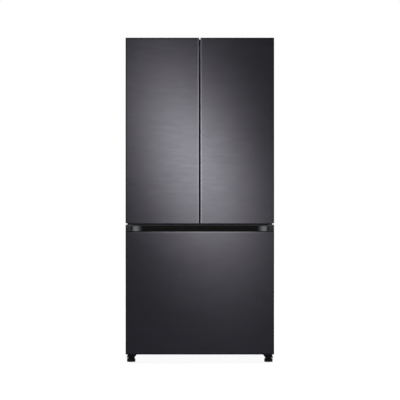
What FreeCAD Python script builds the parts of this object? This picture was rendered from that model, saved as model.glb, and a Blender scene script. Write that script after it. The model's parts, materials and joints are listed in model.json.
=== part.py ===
"""French door refrigerator: two swing doors over one freezer drawer.

Millimetres, +Z up, front towards -Y, origin on the floor under the middle of the whole appliance.
Pieces that come as a left and a right one are drawn on the right side (+X) and mirrored.
"""

import FreeCAD, Part

import math
import os

V = FreeCAD.Vector

# Overall size
WIDTH = 817.0
HEIGHT = 1792.0
DEPTH = 715.0

# Layers from the front to the back
DOOR_DEPTH = 58.0
GASKET_DEPTH = 12.0
SEAL_GAP = 0.3
RUN_GAP = 1.0
MITRE_GAP = 0.01

# Upper doors and drawer front, heights above the floor
DRAWER_BOTTOM = 50.0
LIP_HEIGHT = 679.0
GRIP_HEIGHT = 35.0
DOOR_DRAWER_GAP = 7.0
CENTRE_GAP = 6.0

# Cabinet
CABINET_INSET = 7.0
CABINET_BOTTOM = 57.0
TOP_COVER_HEIGHT = 22.0
TOP_COVER_DROP = 3.0
TOP_COVER_DEPTH = 95.0
TOP_COVER_FLAT = 66.5
TOP_COVER_WALL = 2.5
SHEET = 1.5
LINER = 2.0
SIDE_WALL = 50.0
BACK_WALL = 52.0
TOP_WALL = 48.0
FLOOR_WALL = 48.0
DIVIDER = 92.0
SHELL_RETURN = 20.0
FRIDGE_SILL = 33.0
FLANGE_BELOW_FRIDGE = 22.0
FLANGE_ABOVE_FREEZER = 17.0
LINER_CORNER = 14.0

# Machine room at the rear bottom
MACHINE_DEPTH = 190.0
MACHINE_HEIGHT = 240.0
MACHINE_FOAM = 38.0
BASE_SHEET = 2.0

# Door build
SKIN = 1.0
SKIN_RETURN = 50.0
SKIN_CORNER = 3.0
CAP_HEIGHT = 30.0
HINGE_INSET = 22.0
HINGE_SETBACK = 28.0
GASKET_WIDTH = 18.0
GASKET_HINGE_INSET = 24.0
GASKET_FREE_INSET = 12.0
DYKE_INSET = 50.0
DYKE_HINGE_INSET = 66.0
DYKE_DEPTH = 62.0
DYKE_WIDTH = 16.0
DYKE_DRAFT = 6.0
DYKE_END_GAP = 14.0
HINGE_PIN = 5.0
HINGE_PIN_LENGTH = 16.0
HINGE_PIN_TIP_GAP = 4.0
PIN_CLEARANCE = 0.06
HINGE_PLATE = 4.0
HINGE_PLATE_INNER = 17.0
HINGE_PLATE_OUTER = 9.0
HINGE_PLATE_LENGTH = 62.0
HINGE_NOSE = 11.0
HINGE_UPRIGHT = 10.0
HINGE_ROOM = 7.0
MIDDLE_HINGE_LIFT = 1.5
MIDDLE_HINGE_REACH = 72.0

# Pocket grips under the swing doors
POCKET_LENGTH = 230.0
POCKET_DEPTH = 24.0
POCKET_RISE = 18.0
POCKET_WALL = 12.0
POCKET_CENTRE_INSET = 22.0

# Door bins
BIN_WALL = 2.5
BIN_DEPTH = 96.0
BIN_HEIGHT = 92.0
BIN_CORNER = 16.0
BIN_COUNT = 3
BIN_LIFT = 70.0
BIN_TOP_ROOM = 265.0
BIN_LEDGE = 6.0

# Drawer grip
GRIP_END = 33.0
GRIP_DEPTH = 40.0
GRIP_WALL = 3.0
GRIP_SINK = 18.0
GRIP_CURVE = 65.0
PANEL_LIP = 8.0

# Flip mullion on the left door
MULLION_HALF = 34.0
MULLION_DEPTH = 14.0
MULLION_PIVOT_X = -40.0
MULLION_END_GAP = 8.0
MULLION_PIN = 3.0
MULLION_PIVOT_GAP = 3.0
MULLION_EDGE = 4.0
LUG_HEIGHT = 26.0
LUG_END_GAP = 120.0
GUIDE_GAP = 8.0
GUIDE_WALL = 5.0
GUIDE_HEIGHT = 24.0
GUIDE_FROM = 25.0
GUIDE_TO = 75.0

# Shelves and crispers
SHELF_GLASS = 4.0
SHELF_FRAME_HEIGHT = 16.0
SHELF_FRAME_WIDTH = 14.0
SHELF_CORNER = 6.0
SHELF_FRONT_SETBACK = 112.0
SHELF_SIDE_GAP = 3.0
SHELF_COUNT = 2
SHELF_TOP_ROOM = 275.0
CRISPER_SHELF_LEVEL = 200.0
LEDGE_WIDTH = 12.0
LEDGE_HEIGHT = 8.0
CRISPER_WALL = 2.5
CRISPER_GAP = 6.0
CRISPER_HANGER = 3.0
CRISPER_HANDLE = 18.0
CRISPER_CORNER = 12.0
DUCT_WIDTH = 300.0
DUCT_DEPTH = 22.0
LAMP_WIDTH = 300.0
LAMP_DEPTH = 42.0
LAMP_HEIGHT = 11.0
LAMP_SETBACK = 28.0
LAMP_CORNER = 10.0
VENT_LENGTH = 90.0
VENT_HEIGHT = 10.0
VENT_RISES = (50.0, 130.0)

# Freezer drawer insides
BASKET_WALL = 2.5
BASKET_CORNER = 22.0
BASKET_BACK_GAP = 28.0
BASKET_FLOOR_GAP = 14.0
BASKET_RIM = 3.0
BASKET_FRONT_GAP = 8.0
TRAY_HEIGHT = 110.0
TRAY_BACK_GAP = 88.5
TRAY_LEVEL = 450.0
TRAY_SIDE_GAP = 8.0
RAIL_HEIGHT = 44.0
RAIL_SHEET = 2.0
RAIL_BACK_GAP = 35.0
RAIL_WEB_GAP = 0.5
RAIL_ARM = 12.0
RAIL_LEVEL = 250.0
RAIL_SETBACK = 2.0
FREEZER_DYKE = DYKE_DEPTH / 3

# Evaporator and its fan
EVAPORATOR_WIDTH = 520.0
EVAPORATOR_HEIGHT = 180.0
EVAPORATOR_DEPTH = 50.0
EVAPORATOR_FINS = 6
EVAPORATOR_FIN = 0.8
EVAPORATOR_TUBE = 12.0
EVAPORATOR_PASSES = 4
EVAPORATOR_BEND = 20.0
EVAPORATOR_LIFT = 24.0
EVAPORATOR_BACK_GAP = 6.0
RETURN_VENT_X = (-225.0, -90.0, 90.0, 225.0)
RETURN_VENT_LIFTS = (20.0, 40.0)
COVER_THICKNESS = 12.0
EVAPORATOR_SPACE = 76.0
EVAPORATOR_FAN_RADIUS = 50.0
FAN_CLEARANCE = 4.0
FAN_BLADES = 7
FAN_DEPTH = 22.0
FAN_HUB = 17.0
FAN_SHAFT = 2.5
FAN_PITCH = 32.0
FAN_BLADE = 2.0
FAN_CHORD = 0.62
FAN_RING_GAP = 4.0
FAN_TOP_GAP = 18.0
FAN_ARM_WIDTH = 10.0
FAN_ARM_DEPTH = 4.0

# Machine room pieces
COMPRESSOR_RADIUS = 78.0
COMPRESSOR_HEIGHT = 165.0
COMPRESSOR_SIDE_GAP = 186.5
COMPRESSOR_DOME = 34.0
COMPRESSOR_SHOULDER = 0.75
COMPRESSOR_SEAM = 3.0
COMPRESSOR_PLATE = 3.0
COMPRESSOR_PLATE_EDGE = 18.0
COMPRESSOR_PLATE_CORNER = 12.0
COMPRESSOR_FEET_ASPECT = 0.7
TERMINAL_BOX_OUT = 22.0
TERMINAL_BOX_IN = 8.0
TERMINAL_BOX_WIDTH = 48.0
TERMINAL_BOX_LOW = 60.0
TERMINAL_BOX_HIGH = 110.0
SUCTION_STUB = 4.0
DISCHARGE_STUB = 3.0
STUB_OUT = 14.0
STUB_LEVEL = 90.0
MOUNT_WAIST = 6.6
MOUNT_RADIUS = 11.0
MOUNT_HEIGHT = 20.0
CONDENSER_TUBE = 8.0
CONDENSER_PASSES = 4
CONDENSER_BEND = 20.0
CONDENSER_LENGTH = 190.0
CONDENSER_PITCH = 44.0
CONDENSER_SIDE_GAP = 166.5
CONDENSER_INSET = 14.0
CONDENSER_WIRE = 3.0
DRAIN_HEIGHT = 34.0
DRAIN_FLOOR = 2.0
DRAIN_INSET = 20.0
DRAIN_DEPTH = 120.0
DRAIN_CORNER = 10.0
SHROUD_GAP = 140.0
CONDENSER_FAN_RADIUS = 72.0
SHROUD_WALL = 4.0
COVER_SLOTS_ACROSS = 9
COVER_SLOTS_UP = 7
SLOT_LENGTH = 52.0
SLOT_HEIGHT = 6.0
COVER_SHEET = 1.5
SLOT_MARGIN = 60.0
SLOTS_UP_FROM = 40.0

# Mains socket
INLET_SIDE_GAP = 31.5
INLET_WIDTH = 30.0
INLET_HEIGHT = 24.0
INLET_DEPTH = 26.0
INLET_DROP = 20.0
INLET_WALL = 3.0
INLET_LIP = 4.0
INLET_LIP_SHEET = 2.0
SOCKET_DEPTH = 18.0

# Feet and rollers
FOOT_RADIUS = 23.5
FOOT_HEIGHT = 23.0
FOOT_INSET = 26.5
FOOT_SETBACK = 46.0
FOOT_STEM = 6.0
LEG_TOP_INNER = 42.0
LEG_TOP_OUTER = 21.0
LEG_BOTTOM_HALF = 19.0
LEG_DEPTH = 60.0
WING_HEIGHT = 16.0
WING_THICKNESS = 5.0
ROLLER_RADIUS = 21.0
ROLLER_WIDTH = 18.0
ROLLER_INSET = 60.0
ROLLER_AXLE = 4.0
FOOT_NECK = 17.0
FOOT_NECK_HEIGHT = 5.0

# Places that follow from the sizes
FRONT = -DEPTH / 2
BACK = DEPTH / 2
DOOR_BACK = FRONT + DOOR_DEPTH
CABINET_FRONT = DOOR_BACK + GASKET_DEPTH
SIDE = WIDTH / 2
CABINET_SIDE = SIDE - CABINET_INSET
LIP_TOP = DRAWER_BOTTOM + LIP_HEIGHT
DRAWER_TOP = LIP_TOP + GRIP_HEIGHT
DOOR_BOTTOM = DRAWER_TOP + DOOR_DRAWER_GAP
COVER_TOP = HEIGHT - TOP_COVER_DROP
CABINET_TOP = COVER_TOP - TOP_COVER_HEIGHT
INNER_SIDE = CABINET_SIDE - SIDE_WALL
FREEZER_FLOOR = CABINET_BOTTOM + FLOOR_WALL
FREEZER_TOP = DOOR_BOTTOM + FRIDGE_SILL - DIVIDER
FRIDGE_FLOOR = FREEZER_TOP + DIVIDER
FRIDGE_TOP = CABINET_TOP - TOP_WALL
INNER_BACK = BACK - BACK_WALL
MACHINE_FRONT = BACK - MACHINE_DEPTH
MACHINE_TOP = CABINET_BOTTOM + MACHINE_HEIGHT
STEP_FRONT = MACHINE_FRONT - MACHINE_FOAM
STEP_TOP = MACHINE_TOP + MACHINE_FOAM
HINGE_X = SIDE - HINGE_INSET
HINGE_Y = FRONT + HINGE_SETBACK
MULLION_PIVOT_Y = CABINET_FRONT + MULLION_DEPTH + MULLION_PIVOT_GAP
MULLION_TOP = FRIDGE_TOP - GUIDE_HEIGHT - MULLION_END_GAP
MULLION_BOTTOM = FRIDGE_FLOOR + MULLION_END_GAP
SHELF_FRONT = CABINET_FRONT + SHELF_FRONT_SETBACK
DUCT_FRONT = INNER_BACK - DUCT_DEPTH
EVAPORATOR_COVER_FRONT = INNER_BACK - EVAPORATOR_SPACE - COVER_THICKNESS
FOOT_X = SIDE - FOOT_INSET
FOOT_Y = CABINET_FRONT + FOOT_SETBACK
ROLLER_X = CABINET_SIDE - ROLLER_INSET
ROLLER_Y = BACK - MACHINE_DEPTH / 2
DOOR_INNER = CENTRE_GAP / 2
DYKE_BOTTOM = FRIDGE_FLOOR + DYKE_END_GAP
DYKE_TOP = FRIDGE_TOP - DYKE_END_GAP
DYKE_BACK = DOOR_BACK + DYKE_DEPTH
DYKE_FREE = DOOR_INNER + DYKE_INSET
DYKE_HINGED = SIDE - DYKE_HINGE_INSET
MIDDLE_HINGE_Z = DRAWER_TOP + MIDDLE_HINGE_LIFT
RAIL_Z = FREEZER_FLOOR + RAIL_LEVEL
RAIL_FRONT = CABINET_FRONT + RAIL_SETBACK
RAIL_BACK = STEP_FRONT - RAIL_BACK_GAP
NEST = RAIL_SHEET + RAIL_WEB_GAP
BASKET_FRONT = DOOR_BACK + FREEZER_DYKE + BASKET_FRONT_GAP
BASKET_DEPTH = STEP_FRONT - BASKET_BACK_GAP - BASKET_FRONT
TRAY_DEPTH = EVAPORATOR_COVER_FRONT - TRAY_BACK_GAP - BASKET_FRONT
EVAPORATOR_Z = STEP_TOP + EVAPORATOR_LIFT
EVAPORATOR_Y = INNER_BACK - EVAPORATOR_DEPTH / 2 - EVAPORATOR_BACK_GAP
FAN_Z = FREEZER_TOP - EVAPORATOR_FAN_RADIUS - FAN_TOP_GAP
FAN_Y = EVAPORATOR_COVER_FRONT + COVER_THICKNESS + FAN_DEPTH / 2 + FAN_RING_GAP
TRAY_TOP = CABINET_BOTTOM + BASE_SHEET
COMPRESSOR_BASE = TRAY_TOP + MOUNT_HEIGHT / 2
CONDENSER_FAN_Z = TRAY_TOP + CONDENSER_FAN_RADIUS + FAN_CLEARANCE + 2 * SHROUD_WALL
INLET_TOP = MACHINE_TOP - INLET_DROP
INLET_X = INLET_SIDE_GAP - CABINET_SIDE
COMPRESSOR_X = COMPRESSOR_SIDE_GAP - CABINET_SIDE
CONDENSER_X = CABINET_SIDE - CONDENSER_SIDE_GAP
SHROUD_X = CONDENSER_X - SHROUD_GAP


def box(x0, x1, y0, y1, z0, z1):
    return Part.makeBox(x1 - x0, y1 - y0, z1 - z0, V(x0, y0, z0))


def cylinder(radius, start, length, axis):
    return Part.makeCylinder(radius, length, V(*start), V(*axis))


def mirrored(shape):
    return shape.mirror(V(0, 0, 0), V(1, 0, 0))


def joined(first, *others):
    return first.multiFuse(list(others)).removeSplitter()


def less(shape, *cutters):
    return shape.cut(list(cutters))


def prism(points, axis, start, length):
    """Polygon extruded along an axis. Points are the two other coordinates, in X, Y, Z order."""
    place = {
        "x": lambda p: V(start, p[0], p[1]),
        "y": lambda p: V(p[0], start, p[1]),
        "z": lambda p: V(p[0], p[1], start),
    }[axis]
    along = {"x": V(length, 0, 0), "y": V(0, length, 0), "z": V(0, 0, length)}[axis]
    corners = [place(p) for p in points]
    return Part.Face(Part.makePolygon(corners + corners[:1])).extrude(along)


def round_face(x0, x1, y0, y1, z, radius):
    """Horizontal rectangle with rounded corners."""
    sides = []
    centres = (
        (x1 - radius, y1 - radius),
        (x0 + radius, y1 - radius),
        (x0 + radius, y0 + radius),
        (x1 - radius, y0 + radius),
    )
    ends = []
    for k, (cx, cy) in enumerate(centres):
        at = [
            V(cx + radius * math.cos(turn), cy + radius * math.sin(turn), z)
            for turn in (k * math.pi / 2 + eighth * math.pi / 4 for eighth in range(3))
        ]
        ends.append((at[0], at[2]))
        sides.append(Part.Arc(*at).toShape())
    for i in range(4):
        sides.append(Part.makeLine(ends[i][1], ends[(i + 1) % 4][0]))
    return Part.Face(Part.Wire(Part.__sortEdges__(sides)))


def round_box(x0, x1, y0, y1, z0, z1, radius):
    """Block whose upright edges are rounded."""
    return round_face(x0, x1, y0, y1, z0, radius).extrude(V(0, 0, z1 - z0))


def round_slab(x0, x1, y0, y1, z0, z1, radius):
    """Block whose edges along Y are rounded, drawn as an upright one and laid on its front."""
    upright = round_box(x0, x1, z0, z1, -y1, -y0, radius)
    upright.rotate(V(0, 0, 0), V(1, 0, 0), 90)
    return upright


def tub(x0, x1, y0, y1, z0, z1, wall, radius):
    """Open-topped bin with rounded upright corners."""
    inside = round_box(
        x0 + wall, x1 - wall, y0 + wall, y1 - wall, z0 + wall, z1 + wall, radius - wall
    )
    return round_box(x0, x1, y0, y1, z0, z1, radius).cut(inside)


def pipe(points, radius, bend):
    """Round bar along straight runs, with each corner cut to two mitred pieces."""
    corners = [V(*p) for p in points]
    route = [corners[0]]
    for before, at, after in zip(corners, corners[1:], corners[2:]):
        back = (before - at).normalize()
        on = (after - at).normalize()
        half = back.getAngle(on) / 2
        reach = bend / math.tan(half)
        middle = at + (back + on).normalize() * (bend / math.sin(half) - bend)
        route += [at + back * reach, middle, at + on * reach]
    route.append(corners[-1])
    kept = [route[0]] + [b for a, b in zip(route, route[1:]) if (b - a).Length > MITRE_GAP]
    ring = Part.Wire(Part.makeCircle(radius, kept[0], kept[1] - kept[0]))
    return Part.makePolygon(kept).makePipeShell([ring], True, False, 1)


# ---------------------------------------------------------------- cabinet


def cabinet_shell():
    """Steel wrap: two sides, the top and a return round the front."""
    outside = box(-CABINET_SIDE, CABINET_SIDE, CABINET_FRONT, BACK, CABINET_BOTTOM, CABINET_TOP)
    inside = box(
        -CABINET_SIDE + SHEET,
        CABINET_SIDE - SHEET,
        CABINET_FRONT + SHEET,
        BACK,
        CABINET_BOTTOM,
        CABINET_TOP - SHEET,
    )
    opening = box(
        -CABINET_SIDE + SHELL_RETURN,
        CABINET_SIDE - SHELL_RETURN,
        CABINET_FRONT,
        CABINET_FRONT + SHEET,
        CABINET_BOTTOM,
        CABINET_TOP - SHELL_RETURN,
    )
    return less(outside, inside, opening)


def back_panel():
    """Flat steel sheet behind the foam, above the machine room."""
    return box(
        -CABINET_SIDE + SHEET,
        CABINET_SIDE - SHEET,
        BACK - SHEET,
        BACK,
        MACHINE_TOP,
        CABINET_TOP - SHEET,
    )


def fridge_space(grow):
    """The inside of the fresh-food liner, or with grow its outside."""
    return round_slab(
        -INNER_SIDE - grow,
        INNER_SIDE + grow,
        CABINET_FRONT,
        INNER_BACK + grow,
        FRIDGE_FLOOR - grow,
        FRIDGE_TOP + grow,
        LINER_CORNER + grow,
    )


def freezer_space(grow):
    """The inside of the freezer liner with its step over the machine room, or its outside."""
    profile = [
        (CABINET_FRONT, FREEZER_FLOOR - grow),
        (STEP_FRONT + grow, FREEZER_FLOOR - grow),
        (STEP_FRONT + grow, STEP_TOP - grow),
        (INNER_BACK + grow, STEP_TOP - grow),
        (INNER_BACK + grow, FREEZER_TOP + grow),
        (CABINET_FRONT, FREEZER_TOP + grow),
    ]
    stepped = prism(profile, "x", -INNER_SIDE - grow, 2 * (INNER_SIDE + grow))
    rounded = round_slab(
        -INNER_SIDE - grow,
        INNER_SIDE + grow,
        CABINET_FRONT,
        INNER_BACK + grow,
        FREEZER_FLOOR - grow,
        FREEZER_TOP + grow,
        LINER_CORNER + grow,
    )
    return stepped.common(rounded)


def flange(low, high):
    """Front rim of a liner, out to the return of the steel wrap."""
    reach = CABINET_SIDE - SHELL_RETURN
    return box(-reach, reach, CABINET_FRONT, CABINET_FRONT + SHEET, low, high)


def shelf_levels():
    low, high = FRIDGE_FLOOR + CRISPER_SHELF_LEVEL, FRIDGE_TOP - SHELF_TOP_ROOM
    return [low + k * (high - low) / SHELF_COUNT for k in range(SHELF_COUNT + 1)]


def shelf_ledges():
    """Ledges moulded in both side walls, one pair under each shelf."""
    depth = (SHELF_FRONT, DUCT_FRONT)
    for level in shelf_levels():
        right = box(
            INNER_SIDE - LEDGE_WIDTH,
            INNER_SIDE,
            *depth,
            level - SHELF_FRAME_HEIGHT - LEDGE_HEIGHT,
            level - SHELF_FRAME_HEIGHT,
        )
        yield right
        yield mirrored(right)


def fridge_liner():
    rim = flange(FRIDGE_FLOOR - FLANGE_BELOW_FRIDGE, CABINET_TOP - SHELL_RETURN)
    skin = less(joined(fridge_space(LINER), rim), fridge_space(0))
    return joined(skin, *shelf_ledges())


def freezer_liner():
    rim = flange(CABINET_BOTTOM, FREEZER_TOP + FLANGE_ABOVE_FREEZER)
    return less(joined(freezer_space(LINER), rim), freezer_space(0))


def divider_rail():
    """Steel strip across the front between the two liners."""
    return flange(FREEZER_TOP + FLANGE_ABOVE_FREEZER, FRIDGE_FLOOR - FLANGE_BELOW_FRIDGE)


def cabinet_foam():
    """Foam between the wrap, the liners, the back panel and the base."""
    block = box(
        -CABINET_SIDE + SHEET,
        CABINET_SIDE - SHEET,
        CABINET_FRONT + SHEET,
        BACK - SHEET,
        CABINET_BOTTOM + BASE_SHEET,
        CABINET_TOP - SHEET,
    )
    room = box(
        -SIDE,
        SIDE,
        MACHINE_FRONT - BASE_SHEET,
        BACK,
        CABINET_BOTTOM,
        MACHINE_TOP,
    )
    return less(block, fridge_space(LINER), freezer_space(LINER), room)


def base_frame():
    """Stepped floor sheet, and the tray that carries the compressor and the rear rollers."""
    half = CABINET_SIDE - SHEET
    front = CABINET_FRONT + SHEET
    step = [
        (front, CABINET_BOTTOM),
        (MACHINE_FRONT, CABINET_BOTTOM),
        (MACHINE_FRONT, MACHINE_TOP - BASE_SHEET),
        (BACK - SHEET, MACHINE_TOP - BASE_SHEET),
        (BACK - SHEET, MACHINE_TOP),
        (MACHINE_FRONT - BASE_SHEET, MACHINE_TOP),
        (MACHINE_FRONT - BASE_SHEET, CABINET_BOTTOM + BASE_SHEET),
        (front, CABINET_BOTTOM + BASE_SHEET),
    ]
    floor = prism(step, "x", -half, 2 * half)
    tray = box(-half, half, MACHINE_FRONT, BACK - COVER_SHEET, CABINET_BOTTOM, CABINET_BOTTOM + BASE_SHEET)
    tray = joined(floor, tray, *roller_forks())
    slots = [roller_slot(side) for side in (-1, 1)]
    return less(tray, *slots)


def roller_slot(side):
    """Opening in the tray over one rear roller."""
    half = ROLLER_WIDTH / 2 + RUN_GAP
    reach = ROLLER_RADIUS + RUN_GAP
    x = side * ROLLER_X
    return box(
        x - half,
        x + half,
        ROLLER_Y - reach,
        ROLLER_Y + reach,
        CABINET_BOTTOM,
        CABINET_BOTTOM + BASE_SHEET,
    )


def roller_forks():
    """Two ears and the axle of each rear roller."""
    ear_gap = ROLLER_WIDTH / 2 + RUN_GAP
    for side in (-1, 1):
        x = side * ROLLER_X
        for ear in (-1, 1):
            inner = x + ear * ear_gap
            outer = inner + ear * BASE_SHEET
            low, high = sorted((inner, outer))
            yield box(
                low,
                high,
                ROLLER_Y - ROLLER_RADIUS,
                ROLLER_Y + ROLLER_RADIUS,
                ROLLER_RADIUS - ROLLER_AXLE * 2,
                CABINET_BOTTOM + BASE_SHEET,
            )
        reach = ear_gap + BASE_SHEET
        yield cylinder(ROLLER_AXLE, (x - reach, ROLLER_Y, ROLLER_RADIUS), 2 * reach, (1, 0, 0))


def roller(side):
    """Rear roller, running on its axle."""
    at = (side * ROLLER_X - ROLLER_WIDTH / 2, ROLLER_Y, ROLLER_RADIUS)
    wheel = cylinder(ROLLER_RADIUS, at, ROLLER_WIDTH, (1, 0, 0))
    return wheel.cut(cylinder(ROLLER_AXLE + PIN_CLEARANCE, at, ROLLER_WIDTH, (1, 0, 0)))


def foot():
    """Turned levelling foot: pad, neck and stem."""
    profile = [
        (0, 0),
        (FOOT_RADIUS, 0),
        (FOOT_RADIUS, FOOT_HEIGHT - FOOT_NECK_HEIGHT),
        (FOOT_NECK, FOOT_HEIGHT - FOOT_NECK_HEIGHT),
        (FOOT_NECK, FOOT_HEIGHT),
        (FOOT_STEM, FOOT_HEIGHT),
        (FOOT_STEM, CABINET_BOTTOM - RUN_GAP),
        (0, CABINET_BOTTOM - RUN_GAP),
    ]
    corners = [V(r, 0, z) for r, z in profile]
    outline = Part.Face(Part.makePolygon(corners + corners[:1]))
    turned = outline.revolve(V(0, 0, 0), V(0, 0, 1), 360)
    turned.translate(V(FOOT_X, FOOT_Y, 0))
    return turned


def leg_bracket():
    """Bracket that narrows down to the levelling foot, with an outer wing that slants outwards."""
    top = CABINET_BOTTOM
    low = FOOT_HEIGHT + RUN_GAP
    outer_top = FOOT_X + LEG_TOP_OUTER
    outer_low = FOOT_X + LEG_BOTTOM_HALF
    profile = [
        (outer_low, low),
        (outer_top, top),
        (FOOT_X - LEG_TOP_INNER, top),
        (FOOT_X - LEG_BOTTOM_HALF, low),
    ]
    front = FOOT_Y - LEG_DEPTH / 2
    block = prism(profile, "y", front, LEG_DEPTH)
    bore = cylinder(FOOT_STEM + PIN_CLEARANCE, (FOOT_X, FOOT_Y, 0), top, (0, 0, 1))
    tip = SIDE - RUN_GAP
    slant = [
        (tip, low),
        (outer_low, low + WING_HEIGHT),
        (outer_low, low + WING_HEIGHT - WING_THICKNESS),
        (tip - WING_THICKNESS, low),
    ]
    wing = prism(slant, "y", front, LEG_DEPTH / 2)
    return less(joined(block, wing), bore)


def top_cover():
    """Full-width moulded cover over the top hinges, open underneath."""
    half = CABINET_SIDE
    outside = prism(
        [
            (CABINET_FRONT, CABINET_TOP),
            (CABINET_FRONT, COVER_TOP),
            (CABINET_FRONT + TOP_COVER_FLAT, COVER_TOP),
            (CABINET_FRONT + TOP_COVER_DEPTH, CABINET_TOP),
        ],
        "x",
        -half,
        2 * half,
    )
    wall = TOP_COVER_WALL
    inside = prism(
        [
            (CABINET_FRONT + wall, CABINET_TOP),
            (CABINET_FRONT + wall, COVER_TOP - wall),
            (CABINET_FRONT + TOP_COVER_FLAT - wall, COVER_TOP - wall),
            (CABINET_FRONT + TOP_COVER_DEPTH - 2 * wall, CABINET_TOP),
        ],
        "x",
        -half + wall,
        2 * (half - wall),
    )
    mouth = box(
        HINGE_X - HINGE_PLATE_INNER - HINGE_ROOM,
        HINGE_X + HINGE_PLATE_OUTER + HINGE_ROOM,
        CABINET_FRONT,
        CABINET_FRONT + wall,
        CABINET_TOP,
        CABINET_TOP + 2 * HINGE_ROOM,
    )
    return less(outside, inside, mouth, mirrored(mouth))


# ---------------------------------------------------------------- hinges

def top_hinge():
    """Plate screwed to the cabinet's top whose pin drops into the door's top cap."""
    plate = box(
        HINGE_X - HINGE_PLATE_INNER,
        HINGE_X + HINGE_PLATE_OUTER,
        HINGE_Y,
        CABINET_FRONT + HINGE_PLATE_LENGTH,
        CABINET_TOP,
        CABINET_TOP + HINGE_PLATE,
    )
    nose = cylinder(HINGE_NOSE, (HINGE_X, HINGE_Y, CABINET_TOP), HINGE_PLATE, (0, 0, 1))
    pin = cylinder(
        HINGE_PIN,
        (HINGE_X, HINGE_Y, CABINET_TOP - HINGE_PIN_LENGTH),
        HINGE_PIN_LENGTH,
        (0, 0, 1),
    )
    return joined(plate, nose, pin)


def middle_hinge():
    """Bracket on the divider rail with a pin up into the door's bottom cap."""
    inner = HINGE_X - MIDDLE_HINGE_REACH
    outer = HINGE_X + HINGE_PLATE_OUTER
    back = CABINET_FRONT - HINGE_PLATE
    top = MIDDLE_HINGE_Z + HINGE_PLATE
    plate = box(inner, outer, HINGE_Y, back, MIDDLE_HINGE_Z, top)
    upright = box(inner, outer, back, CABINET_FRONT, MIDDLE_HINGE_Z - HINGE_UPRIGHT, top)
    nose = cylinder(HINGE_NOSE, (HINGE_X, HINGE_Y, MIDDLE_HINGE_Z), HINGE_PLATE, (0, 0, 1))
    pin_start = (HINGE_X, HINGE_Y, MIDDLE_HINGE_Z)
    pin = cylinder(HINGE_PIN, pin_start, HINGE_PIN_LENGTH + HINGE_PLATE, (0, 0, 1))
    return joined(plate, upright, nose, pin)


# ---------------------------------------------------------------- swing doors (right one)

def hinge_recess():
    """Room above the top hinge, open to the side and the back but closed in front."""
    return box(
        HINGE_X - HINGE_PLATE_INNER - HINGE_ROOM,
        SIDE + RUN_GAP,
        FRONT + SKIN_CORNER + RUN_GAP,
        DOOR_BACK + RUN_GAP,
        CABINET_TOP - RUN_GAP * 2,
        HEIGHT + RUN_GAP,
    )


def pin_hole(base, length):
    """Running bore for a hinge pin in a door cap."""
    return cylinder(HINGE_PIN + PIN_CLEARANCE, (HINGE_X, HINGE_Y, base), length, (0, 0, 1))


def folded_skin(x0, x1, z0, z1):
    """Steel front with rounded edges, folded back along both sides."""
    outside = round_box(x0, x1, FRONT, FRONT + 2 * SKIN_RETURN, z0, z1, SKIN_CORNER)
    inside = round_box(
        x0 + SKIN,
        x1 - SKIN,
        FRONT + SKIN,
        FRONT + 2 * SKIN_RETURN,
        z0,
        z1,
        SKIN_CORNER - SKIN,
    )
    behind = box(x0, x1, FRONT + SKIN_RETURN, FRONT + 2 * SKIN_RETURN, z0, z1)
    return less(outside, inside, behind)


def filling(x0, x1, z0, z1, back):
    """What lies inside the folded skin, as far back as the liner."""
    block = round_box(
        x0 + SKIN, x1 - SKIN, FRONT + SKIN, FRONT + 2 * DOOR_DEPTH, z0, z1, SKIN_CORNER - SKIN
    )
    return block.cut(box(x0, x1, back, FRONT + 3 * DOOR_DEPTH, z0, z1))


def door_panel():
    skin = folded_skin(DOOR_INNER, SIDE, DOOR_BOTTOM, HEIGHT)
    return skin.cut(hinge_recess())


def pocket_grip():
    """Finger pocket in the door's underside near its free edge."""
    x0 = DOOR_INNER + POCKET_CENTRE_INSET
    y0 = FRONT + POCKET_WALL
    return round_box(
        x0,
        x0 + POCKET_LENGTH,
        y0,
        y0 + POCKET_DEPTH,
        DOOR_BOTTOM,
        DOOR_BOTTOM + POCKET_RISE,
        POCKET_DEPTH / 2 - RUN_GAP,
    )


def door_caps():
    """Moulded top and bottom caps, with the hinge bores and the finger pocket."""
    x0, x1 = DOOR_INNER, SIDE
    bottom = filling(x0, x1, DOOR_BOTTOM, DOOR_BOTTOM + CAP_HEIGHT, DOOR_BACK - LINER)
    top = filling(x0, x1, HEIGHT - CAP_HEIGHT - HINGE_PIN_LENGTH, HEIGHT - RUN_GAP, DOOR_BACK - LINER)
    bottom = less(bottom, pocket_grip(), pin_hole(DOOR_BOTTOM, HINGE_PIN_LENGTH + HINGE_PIN_TIP_GAP))
    top = less(
        top,
        hinge_recess(),
        pin_hole(CABINET_TOP - HINGE_PIN_LENGTH - RUN_GAP, HINGE_PIN_LENGTH + RUN_GAP),
    )
    return Part.makeCompound([bottom, top])


def door_foam():
    return filling(
        DOOR_INNER,
        SIDE,
        DOOR_BOTTOM + CAP_HEIGHT,
        HEIGHT - CAP_HEIGHT - HINGE_PIN_LENGTH,
        DOOR_BACK - LINER,
    )


def dyke(x0, x1, z0, z1):
    """Tapered ridge round the back of a door, as a ring."""
    def ring(inset, y):
        corners = [
            (x0 + inset, z0 + inset),
            (x1 - inset, z0 + inset),
            (x1 - inset, z1 - inset),
            (x0 + inset, z1 - inset),
        ]
        points = [V(x, y, z) for x, z in corners]
        return Part.makePolygon(points + points[:1])

    back = DOOR_BACK + DYKE_DEPTH
    outside = Part.makeLoft([ring(0, DOOR_BACK), ring(DYKE_DRAFT, back)], True)
    width = DYKE_WIDTH + 2 * DYKE_DRAFT
    inside = Part.makeLoft([ring(width, DOOR_BACK), ring(width - DYKE_DRAFT, back)], True)
    return outside.cut(inside)


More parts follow.
